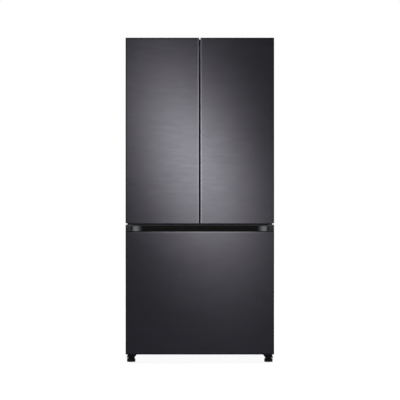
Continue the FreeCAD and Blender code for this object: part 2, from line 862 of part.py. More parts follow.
def liner_back(x0, x1, z0, z1):
    """Plate behind a door's foam, with its edges brought forward to the skin."""
    plate = box(x0, x1, DOOR_BACK - LINER, DOOR_BACK, z0, z1)
    edge = FRONT + SKIN_RETURN
    left = box(x0, x0 + SKIN, edge, DOOR_BACK, z0, z1)
    right = box(x1 - SKIN, x1, edge, DOOR_BACK, z0, z1)
    return joined(plate, left, right)


def bin_heights():
    low, high = DYKE_BOTTOM + BIN_LIFT, DYKE_TOP - BIN_TOP_ROOM
    return [low + k * (high - low) / (BIN_COUNT - 1) for k in range(BIN_COUNT)]


def bin_ledges():
    """Ledges inside the dyke that the bins hook on."""
    x0 = DYKE_FREE + DYKE_WIDTH + 2 * DYKE_DRAFT
    x1 = DYKE_HINGED - DYKE_WIDTH - 2 * DYKE_DRAFT
    for level in bin_heights():
        top = level + BIN_HEIGHT / 2
        for low, high in ((x0 - DYKE_DRAFT, x0 + BIN_LEDGE), (x1 - BIN_LEDGE, x1 + DYKE_DRAFT)):
            yield box(low, high, DOOR_BACK, DYKE_BACK - 2 * DYKE_DRAFT, top - BIN_LEDGE, top)


def door_liner():
    plate = liner_back(DOOR_INNER, SIDE, DOOR_BOTTOM, HEIGHT)
    ridge = dyke(DYKE_FREE, DYKE_HINGED, DYKE_BOTTOM, DYKE_TOP)
    whole = joined(plate, ridge, *bin_ledges())
    return whole.cut(hinge_recess())


def seal_ring(x0, x1, z0, z1):
    """Magnetic gasket as a square ring with rounded outer corners."""
    back = CABINET_FRONT - SEAL_GAP
    outer = round_slab(x0, x1, DOOR_BACK, back, z0, z1, GASKET_WIDTH / 2)
    inner = box(
        x0 + GASKET_WIDTH,
        x1 - GASKET_WIDTH,
        DOOR_BACK,
        back,
        z0 + GASKET_WIDTH,
        z1 - GASKET_WIDTH,
    )
    bead = box(
        x0 + GASKET_WIDTH / 3,
        x1 - GASKET_WIDTH / 3,
        DOOR_BACK + GASKET_DEPTH / 3,
        DOOR_BACK + GASKET_DEPTH / 2,
        z0 + GASKET_WIDTH / 3,
        z1 - GASKET_WIDTH / 3,
    )
    groove = box(x0, x1, DOOR_BACK + GASKET_DEPTH / 3, DOOR_BACK + GASKET_DEPTH / 2, z0, z1)
    return less(outer, inner, groove.cut(bead))


def door_gasket():
    return seal_ring(
        DOOR_INNER + GASKET_FREE_INSET,
        SIDE - GASKET_HINGE_INSET,
        DOOR_BOTTOM + GASKET_FREE_INSET,
        CABINET_TOP - GASKET_FREE_INSET,
    )


def door_bins():
    """Bins hooked on the ledges, each with a front wall that leans out."""
    x0 = DYKE_FREE + DYKE_WIDTH + 2 * DYKE_DRAFT + RUN_GAP
    x1 = DYKE_HINGED - DYKE_WIDTH - 2 * DYKE_DRAFT - RUN_GAP
    y0 = DOOR_BACK + RUN_GAP
    bins = []
    for level in bin_heights():
        body = tub(x0, x1, y0, DOOR_BACK + BIN_DEPTH, level, level + BIN_HEIGHT, BIN_WALL, BIN_CORNER)
        ledge_top = level + BIN_HEIGHT / 2
        notch = BIN_LEDGE + RUN_GAP
        slots = [
            box(
                low,
                high,
                y0,
                DYKE_BACK - 2 * DYKE_DRAFT + RUN_GAP,
                level - RUN_GAP,
                ledge_top,
            )
            for low, high in ((x0, x0 + notch), (x1 - notch, x1))
        ]
        steps = [
            box(
                low,
                high,
                y0,
                DYKE_BACK - 2 * DYKE_DRAFT + RUN_GAP + BIN_WALL,
                level,
                ledge_top + BIN_WALL,
            )
            for low, high in ((x0, x0 + notch + BIN_WALL), (x1 - notch - BIN_WALL, x1))
        ]
        bins.append(less(joined(body, *steps), *slots))
    return Part.makeCompound(bins)


# ---------------------------------------------------------------- flip mullion


def mullion():
    """Flap that closes the gap between the doors from behind, with its pivot pins."""
    face = round_box(
        MULLION_PIVOT_X + MULLION_PIN,
        MULLION_HALF,
        CABINET_FRONT,
        CABINET_FRONT + MULLION_DEPTH,
        MULLION_BOTTOM,
        MULLION_TOP,
        MULLION_EDGE,
    )
    knuckle = MULLION_PIN * 2
    barrel = cylinder(
        knuckle,
        (MULLION_PIVOT_X, MULLION_PIVOT_Y, MULLION_BOTTOM),
        MULLION_TOP - MULLION_BOTTOM,
        (0, 0, 1),
    )
    body = joined(face, barrel)
    gaps = [
        cylinder(
            knuckle + RUN_GAP,
            (MULLION_PIVOT_X, MULLION_PIVOT_Y, z - RUN_GAP),
            LUG_HEIGHT + 2 * RUN_GAP,
            (0, 0, 1),
        )
        for z in lug_heights()
    ]
    pin = cylinder(
        MULLION_PIN,
        (MULLION_PIVOT_X, MULLION_PIVOT_Y, MULLION_BOTTOM),
        MULLION_TOP - MULLION_BOTTOM,
        (0, 0, 1),
    )
    horn = cylinder(
        MULLION_PIN,
        (MULLION_HALF - 2 * MULLION_EDGE, CABINET_FRONT + MULLION_DEPTH / 2, MULLION_TOP),
        MULLION_END_GAP + GUIDE_HEIGHT / 2,
        (0, 0, 1),
    )
    return joined(less(body, *gaps), pin, horn)


def lug_heights():
    """Lower faces of the lugs that carry the mullion's pin."""
    low = MULLION_BOTTOM + LUG_END_GAP
    high = MULLION_TOP - LUG_END_GAP - LUG_HEIGHT
    return [low, (low + high) / 2, high]


def mullion_lugs():
    """Lugs that reach from the left door's dyke to the mullion's pin."""
    for z in lug_heights():
        knuckle = MULLION_PIN * 2
        eye = cylinder(knuckle, (MULLION_PIVOT_X, MULLION_PIVOT_Y, z), LUG_HEIGHT, (0, 0, 1))
        arm = box(
            -DYKE_FREE - DYKE_DRAFT,
            MULLION_PIVOT_X,
            MULLION_PIVOT_Y - MULLION_PIN,
            MULLION_PIVOT_Y + MULLION_PIN,
            z,
            z + LUG_HEIGHT,
        )
        bore = cylinder(
            MULLION_PIN + PIN_CLEARANCE,
            (MULLION_PIVOT_X, MULLION_PIVOT_Y, z),
            LUG_HEIGHT,
            (0, 0, 1),
        )
        yield joined(eye, arm).cut(bore)


def left_door_liner():
    return joined(mirrored(door_liner()), *mullion_lugs())


def mullion_guide():
    """Curved lip under the ceiling that turns the mullion as the left door closes."""
    reach = math.hypot(MULLION_HALF - MULLION_PIVOT_X, MULLION_PIVOT_Y - CABINET_FRONT) + GUIDE_GAP
    top = FRIDGE_TOP
    centre = (MULLION_PIVOT_X, MULLION_PIVOT_Y, top - GUIDE_HEIGHT)
    lip = cylinder(reach + GUIDE_WALL, centre, GUIDE_HEIGHT, (0, 0, 1))
    hollow = cylinder(reach, centre, GUIDE_HEIGHT, (0, 0, 1))
    far = [
        (
            MULLION_PIVOT_X + 2 * reach * math.cos(math.radians(angle)),
            MULLION_PIVOT_Y + 2 * reach * math.sin(math.radians(angle)),
        )
        for angle in (GUIDE_FROM, GUIDE_TO)
    ]
    pivot = (MULLION_PIVOT_X, MULLION_PIVOT_Y)
    wedge = prism([pivot, *far], "z", top - GUIDE_HEIGHT, GUIDE_HEIGHT)
    return lip.cut(hollow).common(wedge)


# ---------------------------------------------------------------- fridge insides


def shelf_span():
    return -INNER_SIDE + SHELF_SIDE_GAP, INNER_SIDE - SHELF_SIDE_GAP


def shelf_glass():
    """Toughened plates, one in each shelf frame."""
    x0, x1 = shelf_span()
    edge = SHELF_FRAME_WIDTH / 2
    plates = [
        box(
            x0 + edge,
            x1 - edge,
            SHELF_FRONT + edge,
            DUCT_FRONT - SHELF_SIDE_GAP - edge,
            level - SHELF_GLASS,
            level,
        )
        for level in shelf_levels()
    ]
    return Part.makeCompound(plates)


def shelf_frame(level):
    """Moulded rim round a shelf's glass, rebated so that the glass lies flush."""
    x0, x1 = shelf_span()
    y0, y1 = SHELF_FRONT, DUCT_FRONT - SHELF_SIDE_GAP
    z0 = level - SHELF_FRAME_HEIGHT
    rim = round_box(x0, x1, y0, y1, z0, level, SHELF_CORNER)
    width = SHELF_FRAME_WIDTH
    hole = box(x0 + width, x1 - width, y0 + width, y1 - width, z0, level)
    rebate = box(
        x0 + width / 2, x1 - width / 2, y0 + width / 2, y1 - width / 2, level - SHELF_GLASS, level
    )
    return less(rim, hole, rebate)


def shelf_frames():
    return Part.makeCompound([shelf_frame(level) for level in shelf_levels()[1:]])


def crisper_shelf_frame():
    """Frame of the lowest shelf, with the middle hanger between the two crispers."""
    level = shelf_levels()[0]
    hanger = box(
        -CRISPER_HANGER / 2,
        CRISPER_HANGER / 2,
        SHELF_FRONT + SHELF_FRAME_WIDTH,
        DUCT_FRONT - SHELF_SIDE_GAP - SHELF_FRAME_WIDTH,
        FRIDGE_FLOOR,
        level - SHELF_GLASS,
    )
    bar = box(
        -SHELF_FRAME_WIDTH,
        SHELF_FRAME_WIDTH,
        SHELF_FRONT + SHELF_FRAME_WIDTH / 2,
        DUCT_FRONT - SHELF_SIDE_GAP - SHELF_FRAME_WIDTH / 2,
        level - SHELF_GLASS * 2,
        level - SHELF_GLASS,
    )
    return joined(shelf_frame(level), hanger, bar)


def crisper():
    """Vegetable drawer with a scooped pull along its front."""
    x0 = CRISPER_GAP
    x1 = INNER_SIDE - LEDGE_WIDTH - CRISPER_GAP / 2
    z0 = FRIDGE_FLOOR + RUN_GAP / 2
    z1 = shelf_levels()[0] - SHELF_FRAME_HEIGHT - LEDGE_HEIGHT - CRISPER_GAP
    y0 = SHELF_FRONT + SHELF_FRAME_WIDTH / 2
    body = tub(x0, x1, y0, DUCT_FRONT - CRISPER_GAP * 2, z0, z1, CRISPER_WALL, CRISPER_CORNER)
    pull = prism(
        [
            (y0, z1 - CRISPER_HANDLE * 2),
            (y0, z1),
            (y0 - CRISPER_HANDLE, z1),
            (y0 - CRISPER_HANDLE, z1 - CRISPER_HANDLE),
        ],
        "x",
        x0 + CRISPER_CORNER,
        x1 - x0 - 2 * CRISPER_CORNER,
    )
    scoop = prism(
        [
            (y0 - CRISPER_WALL, z1 - CRISPER_HANDLE * 2 + CRISPER_WALL),
            (y0 - CRISPER_WALL, z1 - CRISPER_WALL),
            (y0 - CRISPER_HANDLE + CRISPER_WALL, z1 - CRISPER_WALL),
            (y0 - CRISPER_HANDLE + CRISPER_WALL, z1 - CRISPER_HANDLE + CRISPER_WALL),
        ],
        "x",
        x0 + CRISPER_CORNER + CRISPER_WALL,
        x1 - x0 - 2 * (CRISPER_CORNER + CRISPER_WALL),
    )
    mouth = scoop.copy()
    mouth.translate(V(0, 0, -CRISPER_HANDLE / 2))
    return less(joined(body, pull), scoop, mouth.cut(body))


def fridge_air_duct():
    """Cold-air duct cover on the rear wall, with pairs of vents."""
    half = DUCT_WIDTH / 2
    foot = shelf_levels()[0] + VENT_RISES[0] - 2 * DUCT_DEPTH
    body = prism(
        [
            (-half, INNER_BACK),
            (-half + DUCT_DEPTH, DUCT_FRONT),
            (half - DUCT_DEPTH, DUCT_FRONT),
            (half, INNER_BACK),
        ],
        "z",
        foot,
        FRIDGE_TOP - DUCT_DEPTH - foot,
    )
    vents = []
    for z in (level + rise for level in shelf_levels() for rise in VENT_RISES):
        for side in (-1, 1):
            x = side * (VENT_LENGTH / 2 + VENT_HEIGHT)
            vents.append(
                box(
                    x - VENT_LENGTH / 2,
                    x + VENT_LENGTH / 2,
                    DUCT_FRONT,
                    DUCT_FRONT + DUCT_DEPTH / 2,
                    z,
                    z + VENT_HEIGHT,
                )
            )
    return less(body, *vents)


def ceiling_light():
    """Lamp lens under the ceiling, behind the front edge."""
    front = SHELF_FRONT + LAMP_SETBACK
    low = FRIDGE_TOP - LAMP_HEIGHT
    half = LAMP_WIDTH / 2
    return round_box(-half, half, front, front + LAMP_DEPTH, low, FRIDGE_TOP, LAMP_CORNER)


# ---------------------------------------------------------------- freezer drawer


def freezer_panel():
    """Steel front of the drawer, its top edge rolled back as a lip."""
    skin = folded_skin(-SIDE, SIDE, DRAWER_BOTTOM, LIP_TOP)
    lip = box(
        -SIDE + SKIN,
        SIDE - SKIN,
        FRONT + SKIN,
        FRONT + PANEL_LIP,
        LIP_TOP - SKIN,
        LIP_TOP,
    )
    return joined(skin, lip)


def grip_plan():
    """Plan of the grip's hollow: straight back wall, and ends that curve out to the front."""
    half = SIDE - GRIP_END
    front = FRONT - RUN_GAP
    back = FRONT + GRIP_DEPTH
    run = math.sqrt(GRIP_CURVE**2 - (GRIP_CURVE - GRIP_DEPTH) ** 2)
    turn = (math.asin((GRIP_CURVE - GRIP_DEPTH) / GRIP_CURVE) + math.pi / 2) / 2
    knee_x = half - run + GRIP_CURVE * math.cos(turn)
    knee_y = back - GRIP_CURVE + GRIP_CURVE * math.sin(turn)

    def bend(side):
        points = [(half, FRONT), (knee_x, knee_y), (half - run, back)]
        return Part.Arc(*[V(side * x, y, 0) for x, y in points]).toShape()

    edges = [
        Part.makeLine(V(-half, front, 0), V(half, front, 0)),
        Part.makeLine(V(half, front, 0), V(half, FRONT, 0)),
        bend(1),
        Part.makeLine(V(half - run, back, 0), V(run - half, back, 0)),
        bend(-1),
        Part.makeLine(V(-half, FRONT, 0), V(-half, front, 0)),
    ]
    return Part.Face(Part.Wire(Part.__sortEdges__(edges)))


def grip_trough():
    """Dark moulding on top of the drawer: scooped hollow, crown behind it and both end blocks."""
    crown = filling(-SIDE, SIDE, LIP_TOP, DRAWER_TOP, DOOR_BACK - LINER)
    ends = [
        round_box(-SIDE, SIDE, FRONT, FRONT + 2 * DOOR_DEPTH, LIP_TOP, DRAWER_TOP, SKIN_CORNER).common(
            box(low, high, FRONT, FRONT + SKIN_RETURN, LIP_TOP, DRAWER_TOP)
        )
        for low, high in ((-SIDE, -SIDE + GRIP_END), (SIDE - GRIP_END, SIDE))
    ]
    sunk = box(
        -SIDE + GRIP_END - GRIP_WALL,
        SIDE - GRIP_END + GRIP_WALL,
        FRONT + PANEL_LIP,
        FRONT + GRIP_DEPTH + GRIP_WALL,
        LIP_TOP - GRIP_SINK - GRIP_WALL,
        LIP_TOP,
    )
    hollow = grip_plan().extrude(V(0, 0, GRIP_HEIGHT))
    hollow.translate(V(0, 0, LIP_TOP))
    well = grip_plan().extrude(V(0, 0, GRIP_SINK))
    well.translate(V(0, 0, LIP_TOP - GRIP_SINK))
    keep = box(-SIDE, SIDE, FRONT + PANEL_LIP + GRIP_WALL, BACK, 0, HEIGHT)
    return less(joined(crown, sunk, *ends), hollow, well.common(keep))


def freezer_foam():
    block = filling(-SIDE, SIDE, DRAWER_BOTTOM, LIP_TOP, DOOR_BACK - LINER)
    under_lip = box(-SIDE, SIDE, FRONT, FRONT + PANEL_LIP, LIP_TOP - SKIN, LIP_TOP)
    sunk = box(
        -SIDE + GRIP_END - GRIP_WALL,
        SIDE - GRIP_END + GRIP_WALL,
        FRONT + PANEL_LIP,
        FRONT + GRIP_DEPTH + GRIP_WALL,
        LIP_TOP - GRIP_SINK - GRIP_WALL,
        LIP_TOP,
    )
    return less(block, under_lip, sunk)


def freezer_door_liner():
    plate = liner_back(-SIDE, SIDE, DRAWER_BOTTOM, DRAWER_TOP)
    ridge = dyke(
        -INNER_SIDE + 2 * RAIL_ARM + DYKE_DRAFT,
        INNER_SIDE - 2 * RAIL_ARM - DYKE_DRAFT,
        FREEZER_FLOOR + DYKE_END_GAP,
        FREEZER_TOP - DYKE_END_GAP,
    )
    shallow = box(-SIDE, SIDE, DOOR_BACK, DOOR_BACK + FREEZER_DYKE, DRAWER_BOTTOM, DRAWER_TOP)
    return joined(plate, ridge.common(shallow))


def freezer_gasket():
    return seal_ring(
        -SIDE + GASKET_FREE_INSET,
        SIDE - GASKET_FREE_INSET,
        DRAWER_BOTTOM + GASKET_FREE_INSET,
        DRAWER_TOP - GASKET_FREE_INSET,
    )


def channel(outer, depth, height, front, back):
    """C-section lying along Y, its web at the outer side and its mouth towards the middle."""
    body = box(outer - depth, outer, front, back, RAIL_Z - height / 2, RAIL_Z + height / 2)
    hollow = box(
        outer - depth,
        outer - RAIL_SHEET,
        front,
        back,
        RAIL_Z - height / 2 + RAIL_SHEET,
        RAIL_Z + height / 2 - RAIL_SHEET,
    )
    return body.cut(hollow)


def both(shape):
    return Part.makeCompound([shape, mirrored(shape)])


def cabinet_rails():
    return both(channel(INNER_SIDE, RAIL_ARM, RAIL_HEIGHT, RAIL_FRONT, RAIL_BACK))


def rail_carriages():
    return both(
        channel(INNER_SIDE - NEST, RAIL_ARM, RAIL_HEIGHT - 2 * NEST, RAIL_FRONT, RAIL_BACK)
    )


def drawer_rails():
    """Inner slides, joined to the drawer's liner in front and to a ledge that carries the basket."""
    outer = INNER_SIDE - 2 * NEST
    height = RAIL_HEIGHT - 4 * NEST
    slide = channel(outer, RAIL_ARM, height, DOOR_BACK, RAIL_BACK)
    ledge = box(
        outer - 2 * RAIL_ARM,
        outer - RAIL_ARM + RAIL_SHEET,
        DOOR_BACK,
        RAIL_BACK,
        RAIL_Z + height / 2 - RAIL_SHEET,
        RAIL_Z + height / 2,
    )
    return both(joined(slide, ledge))


def rimmed_tub(half, front, depth, low, high, wall, corner, rim):
    """Open bin with a level rim turned out along its sides."""
    body = tub(-half, half, front, front + depth, low, high, wall, corner)
    turned = round_box(
        -half - rim, half + rim, front - rim / 2, front + depth + rim / 2, high - wall, high, corner
    )
    inside = round_box(
        -half + wall,
        half - wall,
        front + wall,
        front + depth - wall,
        high - wall,
        high,
        corner - wall,
    )
    return joined(body, turned.cut(inside))


def freezer_basket():
    """Deep bin that hangs by its rim on the drawer's rails."""
    ledge_top = RAIL_Z + RAIL_HEIGHT / 2 - 2 * NEST
    half = INNER_SIDE - 2 * NEST - 2 * RAIL_ARM - 2 * RUN_GAP
    return rimmed_tub(
        half,
        BASKET_FRONT,
        BASKET_DEPTH,
        FREEZER_FLOOR + BASKET_FLOOR_GAP,
        ledge_top + BASKET_RIM,
        BASKET_RIM,
        BASKET_CORNER,
        RAIL_ARM,
    )


def freezer_tray():
    """Shallow upper bin, hooked to the drawer's liner in front."""
    level = FREEZER_FLOOR + TRAY_LEVEL
    half = INNER_SIDE - TRAY_SIDE_GAP - RAIL_ARM
    front = BASKET_FRONT
    bin_body = rimmed_tub(
        half, front, TRAY_DEPTH, level, level + TRAY_HEIGHT, BASKET_WALL, BASKET_CORNER, RAIL_ARM / 2
    )
    hooks = [
        box(
            side * half / 2 - RAIL_ARM,
            side * half / 2 + RAIL_ARM,
            DOOR_BACK,
            front + BASKET_WALL,
            level + TRAY_HEIGHT - 2 * RAIL_ARM,
            level + TRAY_HEIGHT - RAIL_ARM,
        )
        for side in (-1, 1)
    ]
    return joined(bin_body, *hooks)


# ---------------------------------------------------------------- cooling


def evaporator():
    """Fin-and-tube coil; its end plates reach back to the liner that carries them."""
    half = EVAPORATOR_WIDTH / 2
    pitch = EVAPORATOR_HEIGHT / EVAPORATOR_PASSES
    radius = EVAPORATOR_TUBE / 2
    points = []
    for k in range(EVAPORATOR_PASSES):
        z = EVAPORATOR_Z + pitch * (k + 1 / 2)
        ends = [(-half, EVAPORATOR_Y, z), (half, EVAPORATOR_Y, z)]
        points += ends if k % 2 == 0 else ends[::-1]
    coil = pipe(points, radius, EVAPORATOR_BEND)
    span = EVAPORATOR_WIDTH - 2 * pitch
    step = span / (EVAPORATOR_FINS - 1)
    end_plates = (0, EVAPORATOR_FINS - 1)
    fins = [
        box(
            -span / 2 + i * step - EVAPORATOR_FIN / 2,
            -span / 2 + i * step + EVAPORATOR_FIN / 2,
            EVAPORATOR_Y - EVAPORATOR_DEPTH / 2,
            INNER_BACK - SEAL_GAP if i in end_plates else EVAPORATOR_Y + EVAPORATOR_DEPTH / 2,
            EVAPORATOR_Z,
            EVAPORATOR_Z + EVAPORATOR_HEIGHT,
        )
        for i in range(EVAPORATOR_FINS)
    ]
    return joined(coil, *fins)


def evaporator_cover():
    """Moulded rear panel of the freezer, with the fan's ring and return vents."""
    across = (-INNER_SIDE + RUN_GAP, INNER_SIDE - RUN_GAP)
    deep = (EVAPORATOR_COVER_FRONT, EVAPORATOR_COVER_FRONT + COVER_THICKNESS)
    whole = round_slab(*across, *deep, FREEZER_FLOOR, FREEZER_TOP - RUN_GAP, LINER_CORNER)
    panel = whole.cut(box(*across, *deep, FREEZER_FLOOR, STEP_TOP))
    ring_back = FAN_Y + FAN_DEPTH / 2 + FAN_RING_GAP
    reach = EVAPORATOR_FAN_RADIUS + FAN_CLEARANCE
    start = (0, EVAPORATOR_COVER_FRONT, FAN_Z)
    ring = cylinder(reach + GRIP_WALL, start, ring_back - EVAPORATOR_COVER_FRONT, (0, 1, 0))
    hole = cylinder(reach, start, ring_back - EVAPORATOR_COVER_FRONT, (0, 1, 0))
    vents = [
        box(
            x - VENT_LENGTH / 2,
            x + VENT_LENGTH / 2,
            EVAPORATOR_COVER_FRONT,
            EVAPORATOR_COVER_FRONT + COVER_THICKNESS,
            z,
            z + VENT_HEIGHT,
        )
        for z in (STEP_TOP + lift for lift in RETURN_VENT_LIFTS)
        for x in RETURN_VENT_X
    ]
    carrier = fan_carrier(FAN_Y, ring_back, FAN_Z, reach)
    return joined(less(joined(panel, ring), hole, *vents), carrier)


def fan_carrier(centre, back, z, reach):
    """Cross arms behind a fan with the motor in the middle and its shaft."""
    half = FAN_ARM_WIDTH / 2
    end = reach + GRIP_WALL / 2
    arms = [
        box(-end, end, back - FAN_ARM_DEPTH, back, z - half, z + half),
        box(-half, half, back - FAN_ARM_DEPTH, back, z - end, z + end),
    ]
    motor_front = centre + FAN_DEPTH / 2 + RUN_GAP
    motor = cylinder(FAN_HUB, (0, motor_front, z), back - motor_front, (0, 1, 0))
    shaft = cylinder(FAN_SHAFT, (0, centre, z), motor_front - centre, (0, 1, 0))
    return joined(motor, shaft, *arms)


def fan(radius, centre_y):
    """Axial rotor about +Y at the origin of X and Z: hub, nose and pitched blades."""
    hub = cylinder(FAN_HUB, (0, centre_y - FAN_DEPTH / 2, 0), FAN_DEPTH, (0, 1, 0))
    limit = cylinder(radius, (0, centre_y - FAN_DEPTH / 2, 0), FAN_DEPTH, (0, 1, 0))
    blades = []
    chord = FAN_CHORD * radius
    for i in range(FAN_BLADES):
        blade = box(
            -chord / 2, chord / 2, -FAN_BLADE / 2, FAN_BLADE / 2, FAN_HUB - FAN_BLADE, 2 * radius
        )
        blade.rotate(V(0, 0, 0), V(0, 0, 1), FAN_PITCH)
        blade.translate(V(0, centre_y, 0))
        blade.rotate(V(0, 0, 0), V(0, 1, 0), 360 * i / FAN_BLADES)
        blades.append(blade.common(limit))
    bore = cylinder(FAN_SHAFT + PIN_CLEARANCE, (0, centre_y - RUN_GAP, 0), FAN_DEPTH, (0, 1, 0))
    return joined(hub, *blades).cut(bore)


def evaporator_fan():
    rotor = fan(EVAPORATOR_FAN_RADIUS, FAN_Y)
    rotor.translate(V(0, 0, FAN_Z))
    return rotor


def compressor_feet():
    """Centres of the four holes in the compressor's foot plate."""
    reach = COMPRESSOR_RADIUS
    return [
        (COMPRESSOR_X + side * reach, ROLLER_Y + end * reach * COMPRESSOR_FEET_ASPECT)
        for side in (-1, 1)
        for end in (-1, 1)
    ]


def compressor():
    """Welded steel pot on a foot plate, with its seam, terminal box and two pipe stubs."""
    base = COMPRESSOR_BASE
    top = base + COMPRESSOR_HEIGHT
    radius = COMPRESSOR_RADIUS
    dome = COMPRESSOR_DOME
    shoulder = COMPRESSOR_SHOULDER * radius
    profile = [
        (0, base),
        (radius - dome / 2, base),
        (radius, base + dome / 2),
        (radius, top - dome),
        (shoulder, top - dome / 4),
        (shoulder / 2, top),
        (0, top),
    ]
    corners = [V(r, 0, z) for r, z in profile]
    outline = Part.Face(Part.makePolygon(corners + corners[:1]))
    pot = outline.revolve(V(0, 0, 0), V(0, 0, 1), 360)
    seam_z = base + COMPRESSOR_HEIGHT / 2
    seam = cylinder(radius + COMPRESSOR_SEAM, (0, 0, seam_z), COMPRESSOR_SEAM, (0, 0, 1))
    terminals = box(
        radius - TERMINAL_BOX_IN,
        radius + TERMINAL_BOX_OUT,
        -TERMINAL_BOX_WIDTH / 2,
        TERMINAL_BOX_WIDTH / 2,
        base + TERMINAL_BOX_LOW,
        base + TERMINAL_BOX_HIGH,
    )
    suction = cylinder(SUCTION_STUB, (-radius / 2, 0, top - dome), dome + STUB_OUT, (0, 0, 1))
    outlet_start = (0, -radius - STUB_OUT, base + STUB_LEVEL)
    outlet = cylinder(DISCHARGE_STUB, outlet_start, 2 * STUB_OUT, (0, 1, 0))
    pot = joined(pot, seam, terminals, suction, outlet)
    pot.translate(V(COMPRESSOR_X, ROLLER_Y, 0))
    reach_x = radius + COMPRESSOR_PLATE_EDGE
    reach_y = radius * COMPRESSOR_FEET_ASPECT + COMPRESSOR_PLATE_EDGE
    plate = round_box(
        COMPRESSOR_X - reach_x,
        COMPRESSOR_X + reach_x,
        ROLLER_Y - reach_y,
        ROLLER_Y + reach_y,
        base,
        base + COMPRESSOR_PLATE,
        COMPRESSOR_PLATE_CORNER,
    )
    holes = [
        cylinder(MOUNT_WAIST + PIN_CLEARANCE, (x, y, base), COMPRESSOR_PLATE, (0, 0, 1))
        for x, y in compressor_feet()
    ]
    return joined(pot, plate).cut(holes)


def compressor_mounts():
    """Rubber grommets: waisted in the foot plate, standing on the tray."""
    neck = COMPRESSOR_BASE + COMPRESSOR_PLATE
    grommets = []
    for x, y in compressor_feet():
        low = cylinder(MOUNT_RADIUS, (x, y, TRAY_TOP), MOUNT_HEIGHT / 2, (0, 0, 1))
        waist = cylinder(MOUNT_WAIST, (x, y, TRAY_TOP), MOUNT_HEIGHT, (0, 0, 1))
        head = cylinder(MOUNT_RADIUS, (x, y, neck), TRAY_TOP + MOUNT_HEIGHT - neck, (0, 0, 1))
        grommets.append(joined(low, waist, head))
    return Part.makeCompound(grommets)


def condenser():
    """Steel serpentine standing on the tray, with two wire stays."""
    x0 = CONDENSER_X - CONDENSER_LENGTH / 2 + CONDENSER_INSET
    x1 = CONDENSER_X + CONDENSER_LENGTH / 2 - CONDENSER_INSET
    radius = CONDENSER_TUBE / 2
    points = []
    for k in range(CONDENSER_PASSES):
        z = TRAY_TOP + DRAIN_HEIGHT + radius + k * CONDENSER_PITCH
        ends = [(x0, ROLLER_Y, z), (x1, ROLLER_Y, z)]
        points += ends if k % 2 == 0 else ends[::-1]
    tube = pipe(points, radius, CONDENSER_BEND)
    stays = [
        cylinder(
            CONDENSER_WIRE,
            (x, ROLLER_Y, TRAY_TOP + DRAIN_FLOOR),
            DRAIN_HEIGHT - DRAIN_FLOOR + CONDENSER_PITCH * (CONDENSER_PASSES - 1) + 2 * radius,
            (0, 0, 1),
        )
        for x in (x0 + CONDENSER_PITCH, x1 - CONDENSER_PITCH)
    ]
    return joined(tube, *stays)


def drain_pan():
    """Evaporating pan under the condenser."""
    half = CONDENSER_LENGTH / 2 - DRAIN_INSET
    return tub(
        CONDENSER_X - half,
        CONDENSER_X + half,
        ROLLER_Y - DRAIN_DEPTH / 2,
        ROLLER_Y + DRAIN_DEPTH / 2,
        TRAY_TOP,
        TRAY_TOP + DRAIN_HEIGHT - CONDENSER_TUBE,
        DRAIN_FLOOR,
        DRAIN_CORNER,
    )


def turned_to_x(shape):
    """Turns a fan drawn about +Y so that it runs about +X."""
    shape.rotate(V(0, 0, 0), V(0, 0, 1), -90)
    shape.translate(V(SHROUD_X, ROLLER_Y, 0))
    return shape


def condenser_fan():
    rotor = fan(CONDENSER_FAN_RADIUS, 0)
    rotor.translate(V(0, 0, CONDENSER_FAN_Z))
    return turned_to_x(rotor)


def condenser_fan_shroud():
    """Upright plate with the fan's ring, motor arms and shaft."""
    reach = CONDENSER_FAN_RADIUS + FAN_CLEARANCE
    back = FAN_DEPTH / 2 + FAN_RING_GAP
    front = -FAN_DEPTH / 2
    half = reach + 2 * SHROUD_WALL
    plate = box(-half, half, back - 2 * SHROUD_WALL, back, TRAY_TOP, CONDENSER_FAN_Z + half)
    ring = cylinder(reach + SHROUD_WALL, (0, front, CONDENSER_FAN_Z), back - front, (0, 1, 0))
    hole = cylinder(reach, (0, front, CONDENSER_FAN_Z), back - front, (0, 1, 0))
    holder = joined(less(joined(plate, ring), hole), fan_carrier(0, back, CONDENSER_FAN_Z, reach))
    return turned_to_x(holder)


def machine_cover():
    """Rear cover of the machine room with rows of slots."""
    half = CABINET_SIDE - SHEET
    plate = box(-half, half, BACK - COVER_SHEET, BACK, CABINET_BOTTOM, MACHINE_TOP)
    step_x = 2 * (half - SLOT_MARGIN) / COVER_SLOTS_ACROSS
    step_z = (MACHINE_HEIGHT - 2 * SLOTS_UP_FROM) / (COVER_SLOTS_UP - 1)
    slots = [
        box(
            x - SLOT_LENGTH / 2,
            x + SLOT_LENGTH / 2,
            BACK - COVER_SHEET,
            BACK,
            z - SLOT_HEIGHT / 2,
            z + SLOT_HEIGHT / 2,
        )
        for x in (-half + SLOT_MARGIN + step_x * (i + 1 / 2) for i in range(COVER_SLOTS_ACROSS))
        for z in (CABINET_BOTTOM + SLOTS_UP_FROM + step_z * k for k in range(COVER_SLOTS_UP))
    ]
    inlet = inlet_block(RUN_GAP / 2, BACK - COVER_SHEET, BACK)
    return less(plate, inlet, *slots)


def inlet_block(grow, front, back):
    """Block round the socket's middle, larger than the socket by grow on each side."""
    return box(
        INLET_X - INLET_WIDTH / 2 - grow,
        INLET_X + INLET_WIDTH / 2 + grow,
        front,
        back,
        INLET_TOP - INLET_HEIGHT - grow,
        INLET_TOP + grow,
    )


def power_inlet():
    """Mains socket seated in the rear cover, with its lip behind the sheet."""
    body = inlet_block(0, BACK - INLET_DEPTH, BACK)
    behind = BACK - COVER_SHEET
    lip = inlet_block(INLET_LIP, behind - INLET_LIP_SHEET, behind)
    hollow = inlet_block(-INLET_WALL, BACK - SOCKET_DEPTH, BACK)
    return joined(body, lip).cut(hollow)


# ---------------------------------------------------------------- nodes


